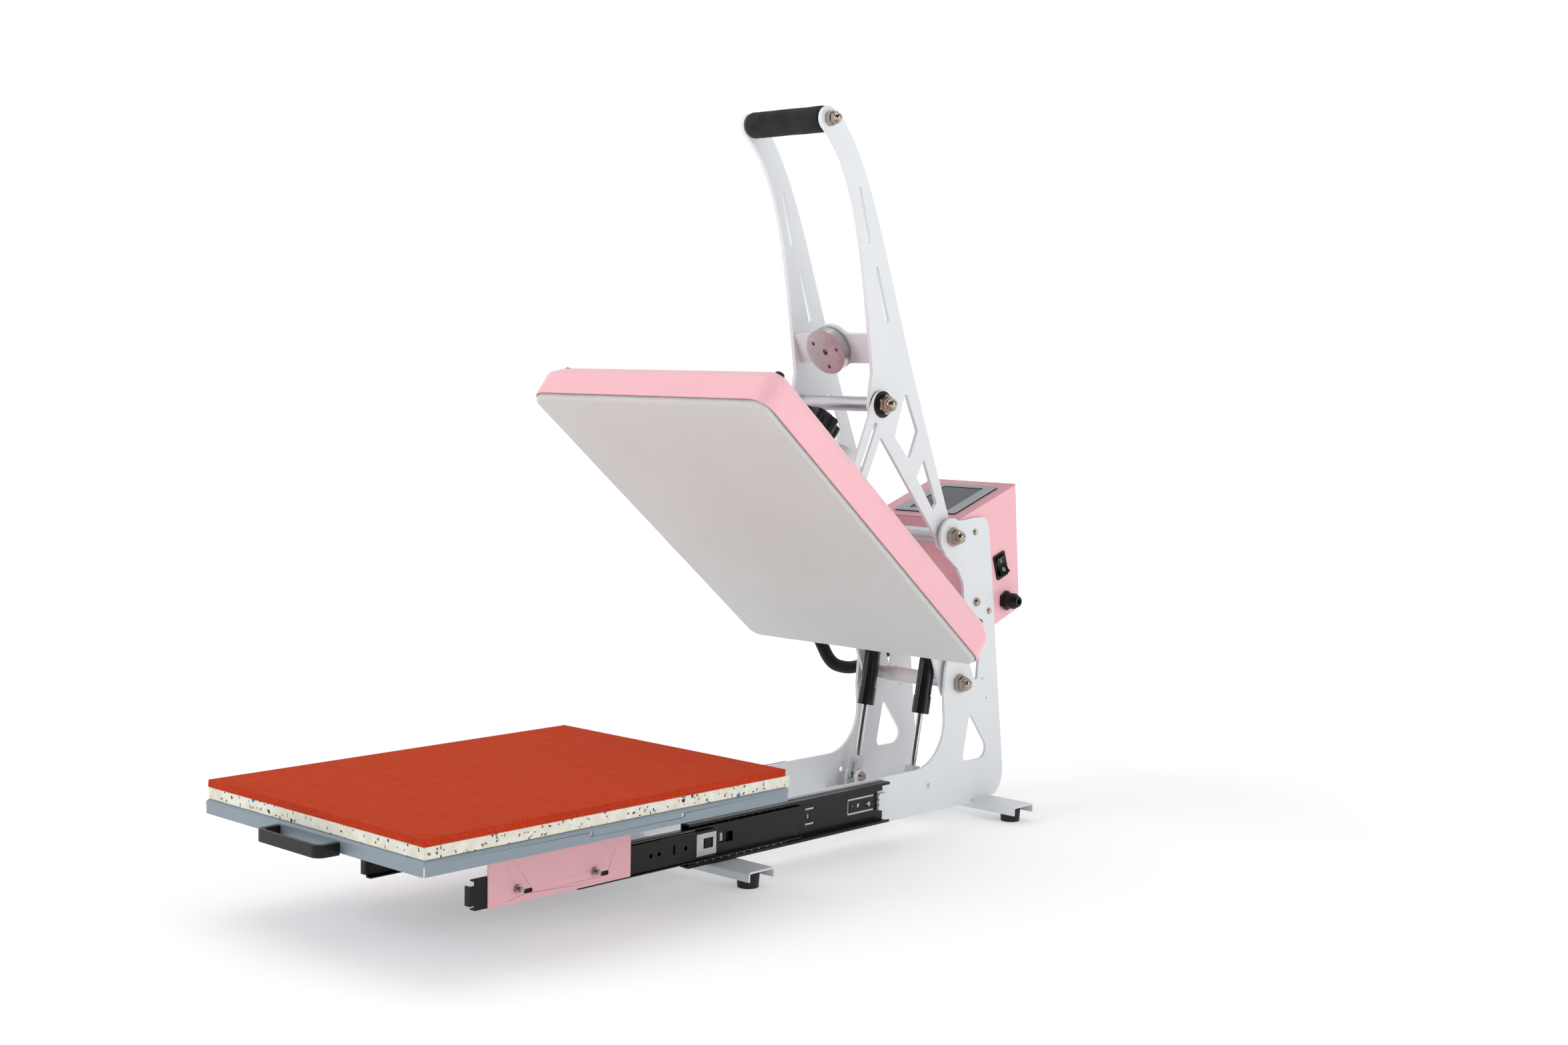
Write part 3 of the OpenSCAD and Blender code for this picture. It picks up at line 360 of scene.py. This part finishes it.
disc_steel = finish("zinc disc", metal_group, srgb(178, 170, 172), 0.12, metallic=1.0,
    Lines=(8.0, 8.0, 8.0), Rough_low=0.2, Rough_high=0.34, Cloud=0.12)
tube_metal = finish("satin tube", metal_group, srgb(198, 200, 206), 0.1, metallic=0.75,
    Rough_low=0.35, Rough_high=0.5)
platen_metal = finish("machined aluminium", metal_group, srgb(200, 201, 203), 0.2, metallic=1.0,
    Rough_low=0.28, Rough_high=0.42)
black_plastic = finish("black moulded plastic", coat_group, srgb(18, 18, 19), 0.2, Gloss_low=0.3,
    Gloss_high=0.42, shader=[("Specular IOR Level", 0.25)])
gloss_plastic = finish("black switch plastic", coat_group, srgb(12, 12, 13), 0.08, Gloss_low=0.14,
    Gloss_high=0.24, shader=[("Specular IOR Level", 0.15)])
grey_plastic = finish("grey bezel", coat_group, srgb(150, 155, 161), 0.15, Gloss_low=0.4,
    Gloss_high=0.5)
screen_glass = finish("dark screen", coat_group, srgb(46, 48, 54), 0.02, Gloss_low=0.06,
    Gloss_high=0.1, shader=[("Specular IOR Level", 0.2)])
white_nylon = finish("white nylon", coat_group, srgb(228, 228, 226), 0.15, Gloss_low=0.42,
    Gloss_high=0.55)
black_rubber = finish("foot rubber", coat_group, srgb(20, 20, 21), 0.4, Gloss_low=0.55,
    Gloss_high=0.7, Peel_size=900.0)
board_green = finish("circuit board", coat_group, srgb(34, 86, 50), 0.2)
# The wool and the grip foam get painted shade in their cell pits from the cell group.
wool = finish("ceramic wool", cell_group, srgb(222, 214, 190), 0.5, Cell_size=500.0)
grip_foam = finish("grip foam", cell_group, srgb(24, 23, 24), 0.6, deep=0.0003, Cell_size=1400.0,
    Pit_shade=0.5)
print("finishes", len(bpy.data.materials))

# %% [markdown]
# ### The cloth on the heated platen
# The cover is a glass cloth with a non-stick coating: an even plain weave, pale and slightly warm.
# Two crossed waves half a millimetre apart make the threads, with painted shade in the gaps, and
# broad noise makes it a little uneven, as coated cloth is. It has no UV map, so the weave follows the
# piece's own axes.

# %% Cloth group and finish
head_tilt = math.radians(-39)


def make_weave():
    tree, given, out = group("plain weave", [("Colour", "Color", (1, 1, 1, 1)),
        ("Threads", "Float", 620.0)],
        [("Colour", "Color"), ("Roughness", "Float"), ("Height", "Float")])
    where = place(tree, turn=(-head_tilt, 0, 0))
    waves = []
    for side in ("X", "Y"):
        wave = add(tree, "TexWave", [("Vector", where), ("Scale", given.outputs["Threads"]),
            ("Distortion", 0.6), ("Detail", 1.0)], wave_type="BANDS", bands_direction=side)
        waves.append(wave.outputs["Fac"])
    threads = add(tree, "Math", [(0, waves[0]), (1, waves[1])], operation="MULTIPLY")
    fuzz = add(tree, "TexNoise", [("Vector", where), ("Scale", 240.0), ("Detail", 6.0)])
    height = add(tree, "Math", [(0, threads.outputs[0]), (1, fuzz.outputs["Fac"])], operation="ADD")
    tree.links.new(height.outputs[0], out.inputs["Height"])
    broad = blotch(tree, where, 5.0, 0.965, 1.02, detail=5.0)
    # Painted shade: the colour darkens where the weave's height is low, in the gaps between threads.
    fine = add(tree, "MapRange", [("Value", height.outputs[0]), ("From Min", 0.2), ("From Max", 1.4),
        ("To Min", 0.93), ("To Max", 1.03)])
    both = add(tree, "Math", [(0, broad), (1, fine.outputs[0])], operation="MULTIPLY")
    tree.links.new(shade(tree, given.outputs["Colour"], both.outputs[0]), out.inputs["Colour"])
    tree.links.new(blotch(tree, where, 30.0, 0.62, 0.8), out.inputs["Roughness"])
    return tree


weave_group = make_weave()
platen_cloth = finish("coated glass cloth", weave_group, srgb(210, 211, 210), 0.35, deep=0.0002,
    shader=[("Sheen Weight", 0.15), ("Sheen Roughness", 0.4)])

# %% [markdown]
# ### The silicone sponge pad
# The pad's skin is a flat orange red with a very fine grain, and its cut edge shows open cells. One
# material does both: the facing direction tells the skin, which faces up, from the cut sides.

# %% Sponge finish
def make_sponge():
    # The cut sides get painted shade in their cell pits from the cell group.
    made = finish("silicone sponge", cell_group, srgb(196, 58, 26), 0.55, deep=0.0006,
        shader=[("Specular IOR Level", 0.15)], Cell_size=620.0, Pit_shade=0.42)
    tree = made.node_tree
    bsdf = tree.nodes["Principled BSDF"]
    facing = add(tree, "NewGeometry").outputs["Normal"]
    up = add(tree, "SeparateXYZ", [(0, facing)]).outputs["Z"]
    skin = add(tree, "MapRange", [("Value", up), ("From Min", 0.6), ("From Max", 0.9)]).outputs[0]
    where = add(tree, "TexCoord").outputs["Object"]
    grain = add(tree, "TexNoise", [("Vector", where), ("Scale", 1300.0), ("Detail", 3.0)])
    dust = add(tree, "TexVoronoi", [("Vector", where), ("Scale", 34.0)])
    fleck = add(tree, "MapRange", [("Value", dust.outputs["Distance"]), ("From Min", 0.018),
        ("From Max", 0.03), ("To Min", 1.35), ("To Max", 1.0)])
    tone = add(tree, "MapRange", [("Value", grain.outputs["Fac"]), ("From Min", 0.3),
        ("From Max", 0.7), ("To Min", 0.95), ("To Max", 1.04)])
    both = add(tree, "Math", [(0, tone.outputs[0]), (1, fleck.outputs[0])], operation="MULTIPLY")
    top = shade(tree, srgb(198, 62, 20), both.outputs[0])
    cut = next(n for n in tree.nodes if n.type == "GROUP").outputs["Colour"]
    mix = add(tree, "Mix", [(0, skin), (6, cut), (7, top)], data_type="RGBA")
    tree.links.new(mix.outputs[2], bsdf.inputs["Base Color"])
    bump = next(n for n in tree.nodes if n.type == "BUMP")
    rise = add(tree, "Mix", [(0, skin), (2, bump.inputs["Height"].links[0].from_socket),
        (3, grain.outputs["Fac"])], data_type="FLOAT")
    tree.links.new(rise.outputs[0], bump.inputs["Height"])
    return made


red_sponge = make_sponge()

# %% [markdown]
# ### The bonded board
# The board under the pad is pressed from white scrap with dark crumbs in it. A Voronoi pattern gives
# each crumb its own random colour; only a few are kept dark, grey or blue, and the rest stay white.

# %% Board finish
def make_board():
    made = bpy.data.materials.new("bonded board")
    made.use_nodes = True
    tree = made.node_tree
    bsdf = tree.nodes["Principled BSDF"]
    where = add(tree, "TexCoord").outputs["Object"]
    warp = add(tree, "TexNoise", [("Vector", where), ("Scale", 160.0), ("Detail", 3.0)])
    push = add(tree, "VectorMath", [(0, warp.outputs["Color"]), ("Scale", 0.006)], operation="SCALE")
    moved = add(tree, "VectorMath", [(0, where), (1, push.outputs[0])], operation="ADD").outputs[0]
    base = add(tree, "MapRange", [("Value", add(tree, "TexNoise", [("Vector", where),
        ("Scale", 90.0), ("Detail", 6.0)]).outputs["Fac"]), ("From Min", 0.3), ("From Max", 0.7)])
    ground = add(tree, "Mix", [(0, base.outputs[0]), (6, srgb(222, 217, 199)),
        (7, srgb(240, 238, 228))], data_type="RGBA").outputs[2]
    for size, keep, tint in ((330.0, 0.93, (58, 56, 54)), (260.0, 0.93, (130, 126, 114)),
                             (170.0, 0.972, (34, 33, 33)), (120.0, 0.994, (60, 130, 175)),
                             (190.0, 0.985, (196, 170, 110))):
        crumbs = add(tree, "TexVoronoi", [("Vector", moved), ("Scale", size), ("Randomness", 1.0)])
        lot = add(tree, "SeparateColor", [(0, crumbs.outputs["Color"])]).outputs["Red"]
        kept = add(tree, "Math", [(0, lot), (1, keep)], operation="GREATER_THAN").outputs[0]
        near = add(tree, "Math", [(0, crumbs.outputs["Distance"]), (1, 0.42)],
            operation="LESS_THAN").outputs[0]
        mask = add(tree, "Math", [(0, kept), (1, near)], operation="MULTIPLY").outputs[0]
        ground = add(tree, "Mix", [(0, mask), (6, ground), (7, srgb(*tint))],
            data_type="RGBA").outputs[2]
    tree.links.new(ground, bsdf.inputs["Base Color"])
    tree.links.new(blotch(tree, where, 120.0, 0.62, 0.85), bsdf.inputs["Roughness"])
    lumps = add(tree, "TexNoise", [("Vector", where), ("Scale", 420.0), ("Detail", 5.0)])
    bump = add(tree, "Bump", [("Strength", 0.6), ("Distance", 0.0006),
        ("Height", lumps.outputs["Fac"])])
    tree.links.new(bump.outputs[0], bsdf.inputs["Normal"])
    return made


crumb_board = make_board()

# %% [markdown]
# ## Finish the CAD pieces
# The CAD pieces keep their meshes. A Weld joins their loose triangles, a small Bevel rounds the
# sheet-metal edges so that they catch the light, and Weighted Normal keeps the flats flat.

# %% Dress a CAD piece
usual_edge = 0.0004
weld_reach = 0.00002
sharp_corner = 30


def dress(name, material, edge):
    """Gives a CAD piece its finish and, unless edge is 0, a small round on its sharp corners."""
    piece = nodes[name]
    piece.data.materials.clear()
    piece.data.materials.append(material)
    piece.data.polygons.foreach_set("use_smooth", [True] * len(piece.data.polygons))
    weld = piece.modifiers.new("join", "WELD")
    weld.merge_threshold = weld_reach
    if edge:
        bevel = piece.modifiers.new("edges", "BEVEL")
        bevel.width = edge
        bevel.segments = 2
        bevel.limit_method = "ANGLE"
        bevel.angle_limit = math.radians(sharp_corner)
        bevel.harden_normals = False
    flat = piece.modifiers.new("flats", "WEIGHTED_NORMAL")
    flat.keep_sharp = True


looks = {
    white_paint: ["side_plate_left", "side_plate_right", "cross_bars", "spring_bracket", "carriage",
                  "handle_arm_left", "handle_arm_right", "armature_plate", "link_left", "link_right",
                  "electromagnet"],
    pink_paint: ["control_box", "tray_bracket_left", "tray_bracket_right", "head_cover"],
    panel_paint: ["control_panel"],
    tray_paint: ["tray"],
    black_coat: ["slide_outer_left", "slide_outer_right", "slide_middle_left", "slide_middle_right",
                 "slide_inner_left", "slide_inner_right", "pull_handle"],
    spring_coat: ["spring_cylinders"],
    nickel: ["bracket_screws", "pivot_nuts", "plate_screws", "bracket_nuts", "handle_nuts"],
    zinc: ["pivot_shafts", "pivot_spacers", "carriage_pins", "grip_rod", "handle_shaft"],
    chrome_rod: ["spring_rods", "pressure_screw"],
    disc_steel: ["armature_disc"],
    tube_metal: ["upper_pivot_tube", "lower_pivot_tube", "handle_cross_tube", "heating_element"],
    platen_metal: ["heat_platen"],
    black_plastic: ["cable_gland", "cover_caps", "pressure_knob", "handle_washers"],
    gloss_plastic: ["switch_housing", "switch_rocker"],
    grey_plastic: ["screen_bezel"],
    screen_glass: ["screen_glass"],
    white_nylon: ["lower_pivot_sleeve"],
    black_rubber: ["rubber_feet"],
    board_green: ["control_board"],
    wool: ["insulation"],
}
edges = {"head_cover": 0.0015, "rubber_feet": 0.0012, "pull_handle": 0.0008, "pressure_knob": 0.0012,
         "screen_glass": 0.0002, "heating_element": 0, "insulation": 0, "control_board": 0,
         "heat_platen": 0.0006, "slide_outer_left": 0.0002, "slide_outer_right": 0.0002,
         "slide_middle_left": 0.0002, "slide_middle_right": 0.0002, "slide_inner_left": 0.0002,
         "slide_inner_right": 0.0002, "spring_cylinders": 0.0006}
for material, names in looks.items():
    for name in names:
        dress(name, material, edges.get(name, usual_edge))
print("dressed", sum(len(names) for names in looks.values()))

# %% [markdown]
# ### Second finishes on a piece
# A slide is one CAD piece, but its balls, its latch plate and its nylon end block are not black. The
# faces are picked by where they lie, measured from the slide's own middle line, and given a second
# material. The screen's bezel is grey on top, and its thin sides are black.

# %% Second finishes
slide_middle = 0.051
outer_balls, inner_balls = (0.0199, 0.0243), (0.0158, 0.0186)
latch_x = 0.09501
end_block_y, end_block_half = 0.2615, 0.0154
panel_slope = math.atan2(44, 127)


def repaint(name, material, inside):
    """Gives a second material to the faces whose middle passes the test."""
    mesh = nodes[name].data
    mesh.materials.append(material)
    last = len(mesh.materials) - 1
    count = 0
    for face in mesh.polygons:
        at = nodes[name].matrix_world @ face.center
        if inside(abs(at.x), at.y, abs(at.z - slide_middle)):
            face.material_index = last
            count += 1
    return count


for side in ("left", "right"):
    outer, inner = "slide_outer_" + side, "slide_inner_" + side
    painted = [
        repaint(outer, nickel, lambda x, y, z: 0.0855 < x < 0.0901
            and outer_balls[0] < z < outer_balls[1]),
        repaint(inner, nickel, lambda x, y, z: 0.0882 < x < 0.0914
            and inner_balls[0] < z < inner_balls[1]),
        repaint(inner, zinc, lambda x, y, z: x > latch_x),
        repaint(outer, white_nylon, lambda x, y, z: 0.07981 < x < 0.0836
            and y > end_block_y and z < end_block_half)]
    print(side, painted)
bezel = nodes["screen_bezel"].data
bezel.materials.append(black_plastic)
off_panel = Vector((0, -math.sin(panel_slope), math.cos(panel_slope)))
for face in bezel.polygons:
    if abs(face.normal.dot(off_panel)) < 0.5:
        face.material_index = len(bezel.materials) - 1
print("bezel faces", len(bezel.polygons))

# %% [markdown]
# ## Making new pieces
# New pieces start from a bmesh primitive, are shaped by operators and then ride on a body.

# %% Piece helpers
def sharp(bm, degrees=30):
    """Edges whose two faces meet at more than this angle."""
    return [e for e in bm.edges if len(e.link_faces) == 2
            and e.calc_face_angle(0) > math.radians(degrees)]


def soften(bm, width, segments=2, degrees=30, picked=None):
    bmesh.ops.bevel(bm, geom=picked or sharp(bm, degrees), offset=width, offset_type="OFFSET",
        segments=segments, profile=0.5, affect="EDGES", clamp_overlap=True, material=-1)


def as_piece(name, bm, material, body, stands_for=(), smooth=True):
    """Turns a bmesh into an object that rides on a body."""
    bmesh.ops.remove_doubles(bm, verts=bm.verts, dist=0.000005)
    bmesh.ops.recalc_face_normals(bm, faces=bm.faces)
    mesh = bpy.data.meshes.new(name)
    bm.to_mesh(mesh)
    bm.free()
    mesh.polygons.foreach_set("use_smooth", [smooth] * len(mesh.polygons))
    mesh.materials.append(material)
    piece = bpy.data.objects.new(name, mesh)
    bpy.context.scene.collection.objects.link(piece)
    if body:
        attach(piece, body)
    if stands_for:
        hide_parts(*stands_for)
    flats = piece.modifiers.new("flats", "WEIGHTED_NORMAL")
    flats.keep_sharp = True
    return piece


def block(bm, low, high):
    """A box between two corners."""
    low, high = Vector(low), Vector(high)
    size = high - low
    return bmesh.ops.create_cube(bm, size=1, matrix=Matrix.Translation((low + high) / 2)
        @ Matrix.Diagonal((*size, 1)))["verts"]


# %% [markdown]
# ## The pad and the board
# Both are cut with a knife, so their edges are nearly square but not perfect. The blocks are cut into
# a grid near the edges and moved a little by a noise that is the same on every run.

# %% Pad and board
from mathutils import noise


def slice_at(bm, at, normal):
    """Cuts every face that the plane crosses."""
    bmesh.ops.bisect_plane(bm, geom=bm.verts[:] + bm.edges[:] + bm.faces[:], plane_co=at,
        plane_no=normal, dist=1e-7)


def gridded(bm, low, high, step):
    """Cuts a piece into squares of about one step, along X and then along Y."""
    for axis in (0, 1):
        count = int((high[axis] - low[axis]) / step)
        for i in range(1, count):
            at = Vector((0, 0, 0))
            at[axis] = low[axis] + (high[axis] - low[axis]) * i / count
            normal = Vector((0, 0, 0))
            normal[axis] = 1
            slice_at(bm, at, normal)


def cut_sheet(node, step, wobble, edge, inset=0.0):
    """A block over a CAD node's box, gridded, with slightly uneven cut sides."""
    low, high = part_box(node)
    low, high = low + Vector((inset, inset, 0)), high - Vector((inset, inset, 0))
    bm = bmesh.new()
    block(bm, low, high)
    soften(bm, edge, 2)
    gridded(bm, low, high, step)
    for i in range(1, 4):
        slice_at(bm, (0, 0, low.z + (high.z - low.z) * i / 4), (0, 0, 1))
    middle = (low + high) / 2
    for v in bm.verts:
        push = noise.noise(v.co * 160) * wobble
        side_x = abs(abs(v.co.x - middle.x) - (high.x - low.x) / 2) < 0.0003
        side_y = abs(abs(v.co.y - middle.y) - (high.y - low.y) / 2) < 0.0003
        if side_x:
            v.co.x += math.copysign(push - wobble, v.co.x - middle.x)
        if side_y:
            v.co.y += math.copysign(push - wobble, v.co.y - middle.y)
    return bm


pad = as_piece("sponge_pad", cut_sheet("foam_pad", 0.008, 0.0003, 0.0006), red_sponge, "drawer",
    ["foam_pad"])
board = as_piece("crumb_board", cut_sheet("press_board", 0.008, 0.0004, 0.0008, 0.0005), crumb_board,
    "drawer", ["press_board"])
print("pad", [round(v, 4) for v in pad.dimensions], "board", [round(v, 4) for v in board.dimensions])

# %% [markdown]
# ## The cloth cover
# The cover is one sheet pulled over the platen's face and held by a hem behind its edge. It is
# modelled lying flat in the head's own directions, with round edges and corners and a slight puff,
# and then turned about the head's pivot to its open place.

# %% Cloth cover
head_pivot = Vector((0, 0.4305, 0.187))
open_head = (Matrix.Translation(head_pivot) @ Matrix.Rotation(head_tilt, 4, "X")
    @ Matrix.Translation(-head_pivot))


def cloth_cover(width, length, centre, low, deep, round_edge, corner):
    bm = bmesh.new()
    block(bm, (-width / 2, centre - length / 2, low), (width / 2, centre + length / 2, low + deep))
    top = [f for f in bm.faces if f.normal.z > 0.9]
    bmesh.ops.delete(bm, geom=top, context="FACES_ONLY")
    upright = [e for e in bm.edges if abs(e.verts[0].co.z - e.verts[1].co.z) > deep / 2]
    bmesh.ops.bevel(bm, geom=upright, offset=corner, offset_type="OFFSET", segments=6, profile=0.5,
        affect="EDGES", clamp_overlap=True, material=-1)
    lower = [e for e in bm.edges if e.verts[0].co.z < low + 1e-5 and e.verts[1].co.z < low + 1e-5]
    bmesh.ops.bevel(bm, geom=lower, offset=round_edge, offset_type="OFFSET", segments=5, profile=0.5,
        affect="EDGES", clamp_overlap=True, material=-1)
    bmesh.ops.recalc_face_normals(bm, faces=bm.faces)
    return bm


head_y = 0.0515
cloth_low = 0.151
half_w, half_l = 0.195, 0.261
bm = cloth_cover(2 * half_w, 2 * half_l, head_y, cloth_low, 0.016, 0.005, 0.017)
gridded(bm, (-half_w, head_y - half_l), (half_w, head_y + half_l), 0.008)
for v in bm.verts:
    u = 1 - min(1, abs(v.co.x) / half_w) ** 6
    w = 1 - min(1, abs(v.co.y - head_y) / half_l) ** 6
    under = 1 if v.co.z < cloth_low + 0.0005 else 0
    v.co.z += under * (-0.0004 * u * w + 0.0003 * noise.noise(v.co * 22))
    if not under:
        out = Vector((v.co.x, v.co.y - head_y, 0)).normalized()
        v.co += out * 0.0006 * noise.noise(v.co * 70)
bmesh.ops.transform(bm, matrix=open_head, verts=bm.verts)
cloth = as_piece("cloth_cover", bm, platen_cloth, "head", ["platen_cover"])
thick = cloth.modifiers.new("cloth", "SOLIDIFY")
thick.thickness = 0.0007
thick.offset = -1
print("cloth", [round(v, 3) for v in cloth.dimensions])

# %% [markdown]
# ## The foam grip
# A foam tube with soft ends. It starts as a cylinder, its end edges are bevelled wide, and rings cut
# along it let it swell and pinch by a fraction of a millimetre.

# %% Foam grip
def foam_tube(node):
    low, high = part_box(node)
    centre, radius, length = (low + high) / 2, (high.z - low.z) / 2, high.x - low.x
    bm = bmesh.new()
    bmesh.ops.create_cone(bm, cap_ends=True, segments=64, radius1=radius, radius2=radius,
        depth=length, matrix=Matrix.Translation(centre) @ Matrix.Rotation(math.pi / 2, 4, "Y"))
    soften(bm, 0.006, 6, 60)
    for i in range(1, 40):
        slice_at(bm, (low.x + length * i / 40, 0, 0), (1, 0, 0))
    for v in bm.verts:
        away = Vector((0, v.co.y - centre.y, v.co.z - centre.z))
        if away.length > radius * 0.5:
            v.co += away.normalized() * (0.00035 * noise.noise(v.co * 60) - 0.0003)
    return bm


grip = as_piece("grip_foam", foam_tube("foam_grip"), grip_foam, "handle", ["foam_grip"])
print("grip", [round(v, 3) for v in grip.dimensions])

# %% [markdown]
# ## The corrugated conduit
# The heater's wires run in a ribbed black tube from the head to the control box. The tube starts as
# one ring of edges; each rib is an extrude of that ring, moved to the next station along the route
# and scaled out and in. It is not tied to either body.

# %% Conduit
route = [Vector(p) / 1000 for p in (
    (-112, 347.05, 245.56), (-112, 353.27, 240.53), (-112, 361.5, 233), (-112, 369.5, 221),
    (-112, 379.5, 207), (-112, 392.5, 196), (-112, 409.5, 190), (-112, 428.5, 187),
    (-112, 448.5, 188), (-112, 468.5, 193), (-110, 487.5, 199), (-104, 505.5, 207),
    (-94, 520.5, 217), (-82, 531.5, 228), (-70, 539.5, 238), (-63, 543.5, 247),
    (-60, 544.5, 253), (-60, 544.5, 258))]


def smooth_route(points, step):
    """Evenly spaced points on a smooth curve through the given ones."""
    fine = []
    for i in range(len(points) - 1):
        a = points[max(i - 1, 0)]
        b, c = points[i], points[i + 1]
        d = points[min(i + 2, len(points) - 1)]
        for k in range(20):
            t = k / 20
            fine.append(0.5 * (2 * b + (c - a) * t + (2 * a - 5 * b + 4 * c - d) * t * t
                + (3 * b - a - 3 * c + d) * t ** 3))
    fine.append(points[-1])
    total = sum((q - p).length for p, q in zip(fine, fine[1:]))
    count = max(2, round(total / step))
    spaced, walked, k = [fine[0]], 0.0, 0
    for n in range(1, count):
        want = total * n / count
        while walked + (fine[k + 1] - fine[k]).length < want:
            walked += (fine[k + 1] - fine[k]).length
            k += 1
        part = (want - walked) / (fine[k + 1] - fine[k]).length
        spaced.append(fine[k].lerp(fine[k + 1], part))
    return spaced + [fine[-1]], total


def ribbed_tube(points, low_r, high_r, sides=20):
    """Rings follow the points; every rib takes four of them."""
    bm = bmesh.new()
    verts = bmesh.ops.create_circle(bm, cap_ends=False, segments=sides, radius=1)["verts"]
    ring = bm.edges[:]
    up = Vector((1, 0, 0))
    last = Matrix.Identity(4)
    for i, at in enumerate(points):
        along = (points[min(i + 1, len(points) - 1)] - points[max(i - 1, 0)]).normalized()
        side = along.cross(up).normalized()
        across = side.cross(along).normalized()
        radius = high_r if i % 4 in (1, 2) else low_r
        here = Matrix.Translation(at) @ Matrix((across, side, -along)).transposed().to_4x4() \
            @ Matrix.Scale(radius, 4)
        if i:
            made = bmesh.ops.extrude_edge_only(bm, edges=ring)["geom"]
            verts = [g for g in made if isinstance(g, bmesh.types.BMVert)]
            ring = [g for g in made if isinstance(g, bmesh.types.BMEdge)
                    and all(v in verts for v in g.verts)]
        bmesh.ops.transform(bm, matrix=here @ last.inverted(), verts=verts)
        last = here
    bmesh.ops.holes_fill(bm, edges=[e for e in bm.edges if e.is_boundary], sides=sides)
    return bm


stations, run = smooth_route(route, 0.0009)
conduit = as_piece("ribbed_conduit", ribbed_tube(stations, 0.0073, 0.0088), black_plastic, None,
    ["wire_conduit"])
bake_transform(conduit)
print("conduit run", round(run, 3), "rings", len(stations))

# %% [markdown]
# ## Marks on the switch
# A mains switch carries a line for on and a ring for off. Both are thin raised marks that follow the
# rocker's dished face, so each starts from a small shape, is laid in the rocker's own directions and
# then turned with it.

# %% Switch marks
rocker_base = (Matrix.Translation((0.0724, 0.5225, 0.340)) @ Matrix.Rotation(panel_slope, 4, "X")
    @ Matrix.Rotation(math.radians(90), 4, "X") @ Matrix.Rotation(math.radians(90), 4, "Y")
    @ Matrix.Rotation(math.radians(-8), 4, "X"))


def dish(v):
    """Height of the rocker's face at a distance from its middle."""
    return 0.026 - math.sqrt(0.0218 ** 2 - v * v)


def mark(name, bm, at):
    """Lays a flat shape on the rocker, a distance from its middle."""
    for v in bm.verts:
        v.co.z += dish(min(0.0123, abs(v.co.y + at))) + 0.00005
        v.co.y += at
    bmesh.ops.transform(bm, matrix=rocker_base, verts=bm.verts)
    return as_piece(name, bm, mark_paint, "rocker")


mark_paint = finish("switch mark", coat_group, srgb(222, 222, 220), 0.05)
bm = bmesh.new()
block(bm, (-0.0005, -0.0026, -0.0001), (0.0005, 0.0026, 0.0002))
lengthways = [e for e in bm.edges if abs(e.verts[0].co.y - e.verts[1].co.y) > 0.004]
bmesh.ops.subdivide_edges(bm, edges=lengthways, cuts=5, use_grid_fill=True)
mark_step = 0.0062
mark("mark_on", bm, mark_step)
bm = bmesh.new()
bmesh.ops.create_circle(bm, cap_ends=False, segments=32, radius=0.0026)
rim = bmesh.ops.extrude_edge_only(bm, edges=bm.edges[:])["geom"]
inner = [g for g in rim if isinstance(g, bmesh.types.BMVert)]
bmesh.ops.scale(bm, vec=(0.66, 0.66, 1), verts=inner)
skin = bmesh.ops.extrude_face_region(bm, geom=bm.faces[:])["geom"]
raised = [g for g in skin if isinstance(g, bmesh.types.BMVert)]
bmesh.ops.translate(bm, vec=(0, 0, 0.0002), verts=raised)
mark("mark_off", bm, -mark_step)
print("marks laid")
